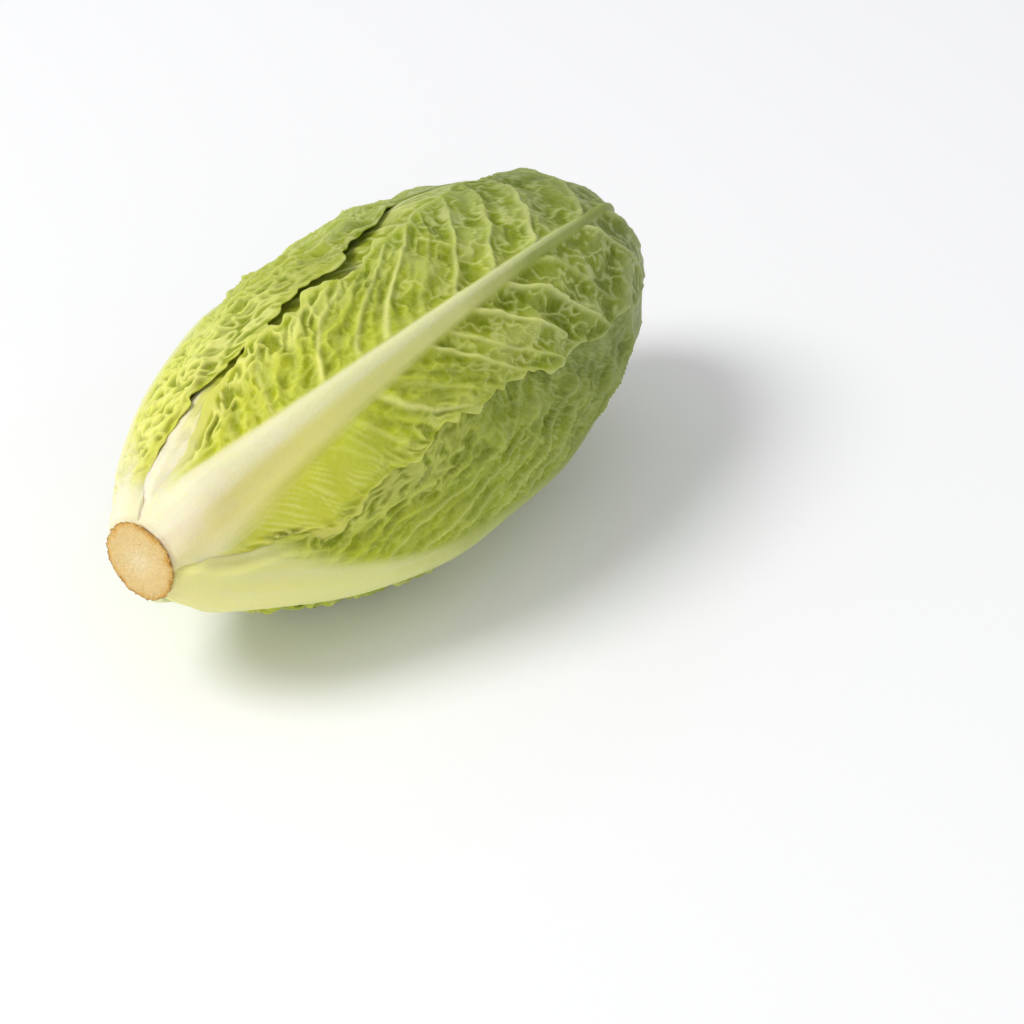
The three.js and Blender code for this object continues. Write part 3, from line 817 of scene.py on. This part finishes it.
def rib_colours(leaf, along, beside, slow):
    """Share of the rib's own colour, and share of its flank's colour in that."""
    side = rib_side(leaf, along, beside)
    off = np.abs(side)
    foot = leaf.white_foot * mix(1, leaf.white_less, smooth(*WHITE_SIDES, beside))
    white = 1 - smooth(WHITE_STARTS * foot, WHITE_ENDS * foot, along + WHITE_WAVES * slow)
    rib = 1 - smooth(*RIB_BORDER, off)
    ends = smooth(*RIB_COLOUR_ENDS, np.clip(along / leaf.length, 0, 1))
    low_flank = bell(side - FURROW_AT, FURROW_HALF) * leaf.furrowed
    broad_flank = mix(low_flank, smooth(*BROAD_FLANK_STARTS, side), smooth(*BROAD_FLANK_FROM, along))
    broad = smooth(*BROAD, leaf.far_side - leaf.near_side + BROADER)
    flank = mix(smooth(*FLANK_STARTS, off), broad_flank, broad)
    flank = flank * (1 - mix(1, WHITE_KEEPS, leaf.furrowed) * white)
    streak = STREAK * noise(along / STREAK_LONG, beside / STREAK_WIDE, leaf.seed + 70)
    streak = streak * smooth(*STREAK_STARTS, along)
    return np.maximum(white, rib * (1 - ends)), np.maximum(leaf.sallow, flank) + streak


STRIP_STARTS = (0, 3)  # places beside the rib between which the smooth strip starts
STRIP_VEINS = 0.6  # share of their height that veins lose on it
CURLED_FOLDS = 0.75  # share of their height that folds lose under winding ridges
EDGE_LINE = 1.4  # width of the pale edge
# pale shares: the own colour of veins, net and strip, and a painted highlight on billows, folds and winding
# ridges
PALE_AND_HIGHLIGHT = SimpleNamespace(all=1.25, net=0.6, billow=0.5, fold=0.5, curl=0.85, strip=0.2, line=0.4)
# deeper green in fold troughs, between winding ridges, in dents, pockets, sags and billow lows: partly
# painted shade
DEEP_GREEN_AND_SHADE = SimpleNamespace(fold=0.95, curl=(0.06, 0.46), dent_and_shade=0.6, pocket=0.4, sag=0.2, billow=0.6)


def relief(leaf, along, beside):
    """The relief of a blade in mm, out of the head, and how much of each colour each place has."""
    t = np.clip(along / leaf.length, 0, 1)
    inside = -outside(leaf, along, beside) - trimmed(leaf, along, beside)
    far = np.clip(np.abs(beside) / (half_width(leaf, t, beside) + 1), 0, 1)
    off_rib = smooth(*SMOOTH_RIB, np.abs(rib_side(leaf, along, beside)))
    strength = smooth(*SMOOTH_FOOT, along) * smooth(*SMOOTH_EDGE, inside) * off_rib
    has = patterns(leaf, along, beside, far)

    young = smooth(*YOUNG, t)
    strip = leaf.lined * smooth(*STRIP_STARTS, beside) * (1 - smooth(*STRIP_ENDS, along))
    strip = strip * (1 - smooth(*STRIP_SIDE, far))
    curled = np.maximum(leaf.curled, smooth(*MARGIN_CURLS, far)) * young * (1 - strip)
    folded = young * (1 - CURLED_FOLDS * curled) * (1 - strip)
    grown = (1 - young) * (1 - strip)
    vein = has.vein * (1 - STRIP_VEINS * strip)
    dents = leaf.dented * has.pit

    outward = VEIN_HEIGHT * vein * mix(VEIN_YOUNG, 1, 1 - young)
    outward = outward + FOLD_HEIGHT * has.fold * folded + CURL_HEIGHT * (has.curl - 0.5) * curled
    outward = outward + LINE_HEIGHT * has.lines * strip
    hollow = SAG * has.sag + DENT_DEPTH * (dents + POCKET * has.pocket)
    outward = outward + grown * (NET_HEIGHT * has.net - hollow)
    outward = outward + BILLOW * has.billow * mix(BILLOW_LOW, 1, grown)
    calm = 1 - CALM * smooth(*CALM_TIP, t)

    # pale: veins and net as they are, and painted highlights on billow tops, fold crests and winding ridges
    pale = np.maximum.reduce([
        vein,
        PALE_AND_HIGHLIGHT.net * has.net * grown,
        PALE_AND_HIGHLIGHT.billow * np.maximum(has.billow, 0) * grown,
        PALE_AND_HIGHLIGHT.fold * np.maximum(has.fold, 0) * folded,
        PALE_AND_HIGHLIGHT.curl * has.curl * curled,
        (PALE_AND_HIGHLIGHT.strip + PALE_AND_HIGHLIGHT.line * has.lines) * strip,
    ])
    # painted shade, with some of the tissue's own deeper green, in dents, pockets, sags, billow lows, fold
    # troughs and curl dents
    sunk = DEEP_GREEN_AND_SHADE.dent_and_shade * dents + DEEP_GREEN_AND_SHADE.pocket * has.pocket + DEEP_GREEN_AND_SHADE.sag * has.sag
    sunk = sunk + DEEP_GREEN_AND_SHADE.billow * np.maximum(-has.billow, 0)
    deep = DEEP_GREEN_AND_SHADE.fold * np.maximum(-has.fold, 0) * folded + smooth(*DEEP_GREEN_AND_SHADE.curl, has.wind) * curled
    rib, flank = rib_colours(leaf, along, beside, has.slow)
    torn = TORN * 4 * rib * (1 - rib)
    return SimpleNamespace(
        height=strength * outward * calm + frill(leaf, along, beside, inside),
        vein=VEIN_PALE * np.clip(PALE_AND_HIGHLIGHT.all * leaf.veined * strength * pale, 0, 1),
        dent_and_shade=DENT_GREEN_AND_SHADE * np.clip(strength * (deep + grown * sunk), 0, 1),
        edge=EDGE_PALE * (1 - smooth(0, EDGE_LINE, inside)),
        torn=torn,
        rib=rib - torn / 2,
        flank=flank - THREAD / 2,
    )


FOOT_ROWS = 1.05  # over 1, so that the rows of a leaf lie a little closer at its foot


def row_share(leaf, u):
    """Share of a leaf's length at share u of its rows, which close up towards the round end."""
    turn = np.clip((u - leaf.even) / (1 - leaf.even), 0, 1)
    below = leaf.widest * np.minimum(u / leaf.even, 1) ** FOOT_ROWS
    return below + (1 - leaf.widest) * np.sin(np.pi / 2 * turn)


def deselect_all():
    bpy.ops.object.select_all(action="DESELECT")


def slab(name, columns, rows):
    """A flat square grid of 2 by 2, extruded down to a closed slab."""
    deselect_all()
    bpy.ops.mesh.primitive_grid_add(x_subdivisions=columns, y_subdivisions=rows, size=2)
    piece = bpy.context.active_object
    piece.name = name
    piece.data.name = name
    bpy.ops.object.mode_set(mode="EDIT")
    bpy.ops.mesh.select_all(action="SELECT")
    bpy.ops.mesh.extrude_region_move(TRANSFORM_OT_translate={"value": (0, 0, -1)})
    bpy.ops.mesh.select_all(action="SELECT")
    bpy.ops.mesh.normals_make_consistent(inside=False)
    bpy.ops.object.mode_set(mode="OBJECT")
    return piece


def points_of(piece):
    flat = np.empty(len(piece.data.vertices) * 3)
    piece.data.vertices.foreach_get("co", flat)
    return flat.reshape(-1, 3)


def set_points(piece, points):
    piece.data.vertices.foreach_set("co", points.ravel())
    piece.data.update()


def set_attribute(piece, name, values):
    kind = "FLOAT" if values.ndim == 1 else "FLOAT_VECTOR"
    attribute = piece.data.attributes.new(name, kind, "POINT")
    attribute.data.foreach_set("value" if kind == "FLOAT" else "vector", values.astype(np.float32).ravel())


def merge_and_smooth(piece, distance=1e-6):
    deselect_all()
    piece.select_set(True)
    bpy.context.view_layer.objects.active = piece
    bpy.ops.object.mode_set(mode="EDIT")
    bpy.ops.mesh.select_all(action="SELECT")
    bpy.ops.mesh.remove_doubles(threshold=distance)
    bpy.ops.object.mode_set(mode="OBJECT")
    bpy.ops.object.shade_smooth()


BELOW_RUN = 30  # length over which the part of a foot below its start is drawn out
NOTCH_STARTS = (10, 30)
NOTCH_CALMS = (0.4, 0.6)
NOTCH_NARROW = 8  # half width under which a leaf has smaller notches
NOTCH_IN = 5  # how closely the notches keep to the edge
NOTCH_ROWS = (0.5, 31.5)


def outline(leaf, t, v):
    """Where a place of a leaf's slab is along and beside, with the notches of the edge."""
    along = t * leaf.length - leaf.below * (1 - smooth(0, BELOW_RUN, t * leaf.length))
    half = half_width(leaf, t, v) - trimmed(leaf, along, v)
    notch = noise((along + EDGE_RUN * half) / NOTCH_WAVE, np.where(v < 0, *NOTCH_ROWS), leaf.seed + 80)
    calm = 1 - EDGE_CALM * smooth(*NOTCH_CALMS, t)
    notch = NOTCH * notch * smooth(*NOTCH_STARTS, along) * np.minimum(half / NOTCH_NARROW, 1) * calm
    return along, v * half + np.sign(v) * notch * np.abs(v) ** NOTCH_IN


COVERED_RELIEF = 0.45  # share of its relief that a covered place keeps, and what a tucked one loses of that
TUCKED_RELIEF = 0.6
EDGE_THINS = 9  # a blade thins to its edge over this width
APART = 50.0  # how far apart two leaves lie in the patterns of their material


def leaf_piece(n, material):
    """A leaf: a slab whose points are carried to their places on the head."""
    leaf = LEAVES[n]
    columns, rows = (round(size * (1)) for size in leaf.grid)
    piece = slab(leaf.name + "_blade", columns, rows)
    flat = points_of(piece)
    v = flat[:, 0]
    u = (flat[:, 1] + 1) / 2
    inner = flat[:, 2] < -0.5
    along, reach = outline(leaf, row_share(leaf, u), v)
    angle = rib_angle(leaf.start + along)
    level = np.arcsin(np.clip(np.sin(angle) / np.cos(reach / BELLY_R), -1, 1))
    q = direction_of(leaf, mix(level, angle, levelled(along)), reach / BELLY_R)
    laid = lay_down(n, q)
    along, beside = laid.along, laid.beside
    skin = relief(leaf, along, beside)
    open_share = laid.bare**3
    folds = crumple(leaf, along, laid.lat) * waves(leaf, along, beside, FOLD_WAVE)
    kept = mix(COVERED_RELIEF, 1, open_share) * (1 - TUCKED_RELIEF * laid.tucked)
    bent = (1 - laid.bare) * folds - skin.height * kept
    top = laid.top - open_share * swell(leaf, along, beside) + bent
    thin = (BLADE - EDGE) * (1 - smooth(0, EDGE_THINS, -outside(leaf, along, beside)))
    low = laid.low - open_share * solid_swell(leaf, along, beside) + bent - thin
    depth = np.where(inner, np.maximum(low, top + BLADE - thin), top)
    set_points(piece, point_at(laid.m, q, depth, np.where(inner, EDGE, 0)))
    half = half_width(leaf, np.clip(along / leaf.length, 0, 1), beside)
    green = np.clip(along / GREEN_AT, 0, 1) + GREEN_EDGE * np.clip(np.abs(beside) / (half + 1), 0, 1)
    set_attribute(piece, "blade", np.array([along, beside, np.full_like(along, APART * leaf.seed)]).T)
    set_attribute(piece, "green", np.clip(leaf.tint + green * (1 - leaf.pale), 0, 1) - CLOUD / 2)
    for name in ("vein", "dent_and_shade", "edge", "torn", "rib", "flank"):
        set_attribute(piece, name, getattr(skin, name))
    merge_and_smooth(piece)
    piece.data.materials.append(material)
    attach(piece, "root")
    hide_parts(leaf.name)
    return piece


# ---------------------------------------------------------------- materials


def linear(hex_colour):
    """An sRGB colour such as #9fbf58 as linear red, green, blue and 1."""
    parts = [int(hex_colour[i:i + 2], 16) / 255 for i in (1, 3, 5)]
    return tuple(c / 12.92 if c <= 0.04045 else ((c + 0.055) / 1.055) ** 2.4 for c in parts) + (1.0,)


# Widths of what the materials draw
CLOUD_WIDTH = 16.7  # clouds of green
WEB_WIDTH = 2.5  # cells of the web of fine veins, and half its threads
WEB_HALF = 0.417
WEB_RAISED = 0.5  # how high that web stands, as a share of the grain
THREAD_WIDTH = 1.11  # threads of the rib, and how much less they change lengthwise
THREAD_LENGTHWISE = 0.05
GRAIN_WIDTH = 0.714  # grains of the skin
STAIN_WIDTH = 3.85  # stains of the cut end
FIBRE_WIDTH = 0.588  # fibres of the cut end, their pale part, how pale that is, and how deep they are
FIBRE_SPOT = 0.28
FIBRE_PALE = 0.55
FIBRE_SUNK = -0.6


def add_node(tree, kind, inputs=None, **settings):
    """A node with its settings. Each input is a value, or a socket that it is linked to."""
    node = tree.nodes.new(kind)
    for name, value in settings.items():
        setattr(node, name, value)
    for name, value in (inputs or {}).items():
        if isinstance(value, bpy.types.NodeSocket):
            tree.links.new(value, node.inputs[name])
        else:
            node.inputs[name].default_value = value
    return node


def set_stops(ramp_node, stops):
    ramp = ramp_node.color_ramp
    while len(ramp.elements) < len(stops):
        ramp.elements.new(0.5)
    for element, (place, colour) in zip(ramp.elements, stops):
        element.position = place
        element.color = linear(colour)


def new_material(name):
    material = bpy.data.materials.new(name)
    material.use_nodes = True
    material.node_tree.nodes.clear()
    return material, material.node_tree


def finish_material(tree, inputs):
    shader = add_node(tree, "ShaderNodeBsdfPrincipled", inputs)
    add_node(tree, "ShaderNodeOutputMaterial", {"Surface": shader.outputs["BSDF"]})


def leaf_material(name, blade_stops, vein_stops, rib_stops, flank_stops, dent_and_shade_colour):
    """Fresh lettuce leaf: a satin skin with a waxy sheen over watery tissue that lets light in, and painted
    shade and highlights.
    """
    material, tree = new_material(name)
    place = add_node(tree, "ShaderNodeAttribute", attribute_name="blade").outputs["Vector"]
    share = {}
    for wanted in ("green", "vein", "dent_and_shade", "edge", "rib", "torn", "flank"):
        share[wanted] = add_node(tree, "ShaderNodeAttribute", attribute_name=wanted).outputs["Fac"]

    # clouds of deeper and paler green
    cloud = add_node(tree, "ShaderNodeTexNoise", {"Vector": place, "Scale": 1 / CLOUD_WIDTH, "Detail": 3.0})
    green = add_node(
        tree, "ShaderNodeMath", {0: cloud.outputs["Fac"], 1: CLOUD, 2: share["green"]},
        operation="MULTIPLY_ADD",
    )
    colours = []
    for stops in (blade_stops, vein_stops, rib_stops, flank_stops):
        ramp = add_node(tree, "ShaderNodeValToRGB", {"Fac": green.outputs[0]})
        set_stops(ramp, stops)
        colours.append(ramp.outputs["Color"])
    blade, vein, rib, flank = colours

    # the skin is deeper green in the dents, and pale on veins, at the edge and on a web of fine veins
    cell = add_node(
        tree, "ShaderNodeTexVoronoi", {"Vector": place, "Scale": 1 / WEB_WIDTH}, feature="DISTANCE_TO_EDGE"
    )
    web = add_node(tree, "ShaderNodeMapRange", {
        "Value": cell.outputs["Distance"],
        "From Max": WEB_HALF / WEB_WIDTH,
        "To Min": WEB_PALE,
        "To Max": 0.0,
    }).outputs["Result"]
    # deeper green multiplied in at the dents, partly painted shade of the hollows
    skin = add_node(
        tree, "ShaderNodeMix", {0: share["dent_and_shade"], 6: blade, 7: linear(dent_and_shade_colour)},
        data_type="RGBA", blend_type="MULTIPLY",
    ).outputs[2]
    # the vein share also carries the painted highlights of crests
    for pale in (share["vein"], share["edge"], web):
        skin = add_node(tree, "ShaderNodeMix", {0: pale, 6: skin, 7: vein}, data_type="RGBA").outputs[2]

    # threads of the rib, drawn out lengthwise, colour its flank and tear its border
    drawn = add_node(
        tree, "ShaderNodeVectorMath", {0: place, 1: (THREAD_LENGTHWISE, 1.0, 1.0)}, operation="MULTIPLY"
    ).outputs["Vector"]
    thread = add_node(
        tree, "ShaderNodeTexNoise", {"Vector": drawn, "Scale": 1 / THREAD_WIDTH, "Detail": 2.0}
    ).outputs["Fac"]
    side = add_node(
        tree, "ShaderNodeMath", {0: thread, 1: THREAD, 2: share["flank"]},
        operation="MULTIPLY_ADD", use_clamp=True,
    )
    border = add_node(
        tree, "ShaderNodeMath", {0: thread, 1: share["torn"], 2: share["rib"]},
        operation="MULTIPLY_ADD", use_clamp=True,
    )
    rib = add_node(tree, "ShaderNodeMix", {0: side.outputs[0], 6: rib, 7: flank}, data_type="RGBA").outputs[2]
    colour = add_node(tree, "ShaderNodeMix", {0: border.outputs[0], 6: skin, 7: rib}, data_type="RGBA")

    # the grain of the skin, with the web standing up from it
    grain = add_node(tree, "ShaderNodeTexNoise", {"Vector": place, "Scale": 1 / GRAIN_WIDTH, "Detail": 4.0})
    raised = add_node(
        tree, "ShaderNodeMath", {0: web, 1: WEB_RAISED / WEB_PALE, 2: grain.outputs["Fac"]},
        operation="MULTIPLY_ADD",
    )
    bump = add_node(
        tree, "ShaderNodeBump", {"Height": raised.outputs[0], "Strength": 0.35, "Distance": 0.25 * MM}
    )
    finish_material(tree, {
        "Base Color": colour.outputs[2],
        "Roughness": 0.42,
        "Specular IOR Level": 0.2,
        "IOR": 1.4,
        "Subsurface Weight": 0.6,
        "Subsurface Radius": (0.8, 1.0, 0.2),
        "Subsurface Scale": 2 * MM,
        "Normal": bump.outputs["Normal"],
    })
    return material


def stem_material():
    """Cut lettuce stem, dried for days: matt tan tissue with pale fibres, browned where the skin was cut."""
    material, tree = new_material("dried_cut_stem")
    place = add_node(tree, "ShaderNodeTexCoord").outputs["Object"]
    radius = add_node(tree, "ShaderNodeAttribute", attribute_name="radius").outputs["Fac"]
    stain = add_node(
        tree, "ShaderNodeTexNoise", {"Vector": place, "Scale": 1 / (STAIN_WIDTH * MM), "Detail": 4.0}
    ).outputs["Fac"]
    browned = add_node(tree, "ShaderNodeMath", {0: stain, 1: STAIN, 2: radius}, operation="MULTIPLY_ADD")
    ramp = add_node(tree, "ShaderNodeValToRGB", {"Fac": browned.outputs[0]})
    set_stops(ramp, CUT_COLOURS)
    # pale ends of fibres
    fibre = add_node(
        tree, "ShaderNodeTexVoronoi", {"Vector": place, "Scale": 1 / (FIBRE_WIDTH * MM)}
    ).outputs["Distance"]
    spot = add_node(tree, "ShaderNodeMath", {0: fibre, 1: FIBRE_SPOT}, operation="LESS_THAN")
    pale = add_node(tree, "ShaderNodeMath", {0: spot.outputs[0], 1: FIBRE_PALE}, operation="MULTIPLY")
    colour = add_node(
        tree, "ShaderNodeMix", {0: pale.outputs[0], 6: ramp.outputs["Color"], 7: linear(FIBRE_COLOUR)},
        data_type="RGBA",
    )
    rough = add_node(tree, "ShaderNodeMath", {0: fibre, 1: FIBRE_SUNK, 2: stain}, operation="MULTIPLY_ADD")
    bump = add_node(
        tree, "ShaderNodeBump", {"Height": rough.outputs[0], "Strength": 0.6, "Distance": 0.4 * MM}
    )
    finish_material(tree, {
        "Base Color": colour.outputs[2],
        "Roughness": 0.7,
        "IOR": 1.4,
        "Subsurface Weight": 0.15,
        "Subsurface Radius": (1.0, 0.6, 0.3),
        "Subsurface Scale": 1 * MM,
        "Normal": bump.outputs["Normal"],
    })
    return material


# Colours from the foot of a leaf to its tip
OUTER_BLADE = [(0.0, "#d6d628"), (0.18, "#cace16"), (0.42, "#b4c01c"), (0.7, "#a0ae28"), (1.0, "#82912a")]
OUTER_VEIN = [(0.0, "#f2f1b0"), (0.25, "#eeee86"), (0.55, "#e4e894"), (0.8, "#d8df98"), (1.0, "#b8c284")]
OUTER_RIB = [
    (0.0, "#f3e7c4"), (0.03, "#f8efd2"), (0.25, "#ece9b8"),
    (0.5, "#e4e6ac"), (0.85, "#adb86c"), (1.0, "#96a362"),
]
OUTER_FLANK = [
    (0.0, "#ead9a2"), (0.04, "#ebdd98"), (0.2, "#ece68c"),
    (0.45, "#e4e694"), (0.7, "#a3af54"), (1.0, "#84914c"),
]
OUTER_COLOURS = (OUTER_BLADE, OUTER_VEIN, OUTER_RIB, OUTER_FLANK)
HEART_BLADE = [(0.0, "#f3eec0"), (0.2, "#f0e27c"), (0.5, "#ead65a"), (0.8, "#dcd050"), (1.0, "#c8cc4c")]
HEART_VEIN = [(0.0, "#f8f3d0"), (0.3, "#f6ee9c"), (0.7, "#f2e884"), (1.0, "#e8e080")]
HEART_COLOURS = (HEART_BLADE, HEART_VEIN, HEART_VEIN, HEART_VEIN)
# Colours of the cut end from its middle to its rim, and of its fibres
CUT_COLOURS = [(0.0, "#ecd8a8"), (0.45, "#e4c88a"), (0.84, "#e0c07c"), (0.94, "#d8ac5a"), (1.0, "#c4923e")]
FIBRE_COLOUR = "#f3e2bb"

leaf_materials = {
    "outer": leaf_material("satin_green_lettuce_leaf", *OUTER_COLOURS, "#b8c024"),
    "inner": leaf_material("satin_pale_lettuce_leaf", *OUTER_COLOURS, "#d2d870"),
    "heart": leaf_material("satin_yellow_lettuce_leaf", *HEART_COLOURS, "#d8cc50"),
}


# ---------------------------------------------------------------- stem


CUT_FACE = (0.2, 0.6)  # the cut face goes over to the side of the disc between these heights
CUT_IN = 0.35  # how far it lies inside its solid, and how much further in its middle and at its rim
DISH = 0.21
DISH_HALF = 5
BEVEL = 0.2
GRAINS = ((0.16, 0.8, 6), (0.22, 2.6, 7))  # height, step and seed of the roughness of the face
RIM = (0.8, 1.0)  # shares of the radius between which the rim starts, and heights between which it ends
RIM_ENDS = (2.2, 4.5)
TURN_STEPS = 4  # unevenness of the disc: steps of the noise per radian, all round and at the rim
RAGGED = 0.04
UNROUND = 0.02
UNROUND_ENDS = (2, 6)
BEHIND = (1.2, 3.2)  # heights between which the colour of the rim goes over to that behind it
COLOUR_BEHIND = 0.1


def stem_profile():
    """Radius and x of the stem, from the middle of the cut face to the tip of the root cone."""
    profile = [(DISC_R * share, 0.0) for share in np.linspace(0, 0.97, 34)]
    profile += [(DISC_R + 0.1, 0.3), (DISC_R + 0.2, 0.6), (DISC_R + 0.1, 0.9), (DISC_R - 0.2, 1.2)]
    profile += [(DISC_R - 1.0, 1.9), (DISC_R - 2.0, 3.4), (STEM_R, 8.0)]
    profile += [(float(stem_radius(x)), x) for x in np.linspace(12, STEM_TIP - 3, 12)]
    return profile + [(0.0, STEM_TIP - 1)]


def spun(name, profile):
    """A closed piece, spun round the x axis from points of radius and x."""
    mesh = bpy.data.meshes.new(name)
    mesh.from_pydata([(x, 0, r) for r, x in profile], [(i, i + 1) for i in range(len(profile) - 1)], [])
    piece = bpy.data.objects.new(name, mesh)
    bpy.context.scene.collection.objects.link(piece)
    deselect_all()
    piece.select_set(True)
    bpy.context.view_layer.objects.active = piece
    bpy.ops.object.mode_set(mode="EDIT")
    bpy.ops.mesh.select_all(action="SELECT")
    bpy.ops.mesh.spin(steps=180, angle=2 * math.pi, center=(0, 0, 0), axis=(1, 0, 0))
    bpy.ops.mesh.select_all(action="SELECT")
    bpy.ops.mesh.remove_doubles(threshold=1e-4)
    bpy.ops.mesh.normals_make_consistent(inside=False)
    bpy.ops.object.mode_set(mode="OBJECT")
    return piece


def stem_piece():
    """The stem: a cut disc with a ragged rim, a neck that the leaves grow from, and the root cone inside."""
    piece = spun("stem_cut_end", stem_profile())
    x, y, z = points_of(piece).T
    radius = np.hypot(y, z)
    turn = np.arctan2(z, y)
    rim = smooth(*RIM, radius / DISC_R)
    face = 1 - smooth(*CUT_FACE, x)
    grain = sum(height * noise(y / step, z / step, seed) for height, step, seed in GRAINS)
    deeper = DISH * bell(radius, DISH_HALF) + BEVEL * rim
    around = np.cos(turn) * TURN_STEPS, np.sin(turn) * TURN_STEPS
    ragged = noise(around[0] * 2, around[1] * 2, 3) + 0.7 * noise(around[0] * 6 + x, around[1] * 6, 4)
    unround = noise(around[0] / 2, around[1] / 2, 5) * (1 - smooth(*UNROUND_ENDS, x))
    grow = 1 + RAGGED * rim * (1 - smooth(*RIM_ENDS, x)) * ragged + UNROUND * unround
    moved = np.array([x + face * (CUT_IN - grain + deeper), y * grow, z * grow]).T
    set_points(piece, (moved + np.array([BUTT_X, AXIS_Y, AXIS_Z])) * MM)
    behind = smooth(*BEHIND, x)
    colour = np.where(behind > 0, mix(1.0, COLOUR_BEHIND, behind), radius / DISC_R)
    set_attribute(piece, "radius", colour - STAIN / 2)
    merge_and_smooth(piece)
    piece.data.materials.append(stem_material())
    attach(piece, "root")
    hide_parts("stem")
    return piece


# ---------------------------------------------------------------- surroundings


MIDDLE = Vector((0, 0, 0.05))  # of the head, in metres


def soft_light(name, place, size, power):
    """A round white light that shines on the middle of the head: lengths in metres, power in watts."""
    data = bpy.data.lights.new(name, "AREA")
    data.shape = "DISK"
    data.size = size
    data.energy = power
    light = bpy.data.objects.new(name, data)
    light.location = place
    light.rotation_euler = (MIDDLE - light.location).to_track_quat("-Z", "Y").to_euler()
    bpy.context.scene.collection.objects.link(light)


def camera():
    """Looks down on the butt and one side of the head, from a metre away."""
    azimuth, elevation, distance = math.radians(-52.9), math.radians(31.6), 1.0
    aim = Vector((0.0063, -0.0008, 0.048))
    back = Vector((math.sin(azimuth) * math.cos(elevation), -math.cos(azimuth) * math.cos(elevation),
                   math.sin(elevation)))
    data = bpy.data.cameras.new("camera")
    data.sensor_width = 36
    data.lens = 123.2
    data.shift_x = 0.108
    data.shift_y = -0.133
    data.clip_start = 0.01
    eye = bpy.data.objects.new("camera", data)
    eye.location = aim + back * distance
    eye.rotation_euler = (-back).to_track_quat("-Z", "Y").to_euler()
    bpy.context.scene.collection.objects.link(eye)
    bpy.context.scene.camera = eye


def floor_piece():
    """A matt white table that glows faintly, as one lit from below does."""
    deselect_all()
    bpy.ops.mesh.primitive_plane_add(size=8)
    floor = bpy.context.active_object
    floor.name = "floor"
    material, tree = new_material("white_light_table")
    finish_material(tree, {
        "Base Color": linear("#fbfbfb"),
        "Roughness": 0.9,
        "Emission Color": linear("#ffffff"),
        "Emission Strength": 0.07,
    })
    floor.data.materials.append(material)


def world():
    """Even white light from all round."""
    scene_world = bpy.data.worlds.new("studio")
    bpy.context.scene.world = scene_world
    scene_world.use_nodes = True
    background = scene_world.node_tree.nodes["Background"]
    background.inputs["Color"].default_value = linear("#fbfcff")
    background.inputs["Strength"].default_value = 0.5


camera()
world()
floor_piece()
soft_light("key", place=(-1.5, 1.1, 2.3), size=1.4, power=52)
soft_light("fill", place=(-1.2, -1.4, 0.8), size=1.2, power=3)
bpy.context.scene.view_settings.view_transform = "Standard"

for n, leaf in enumerate(LEAVES):
    leaf_piece(n, leaf_materials[leaf.kind])
stem_piece()
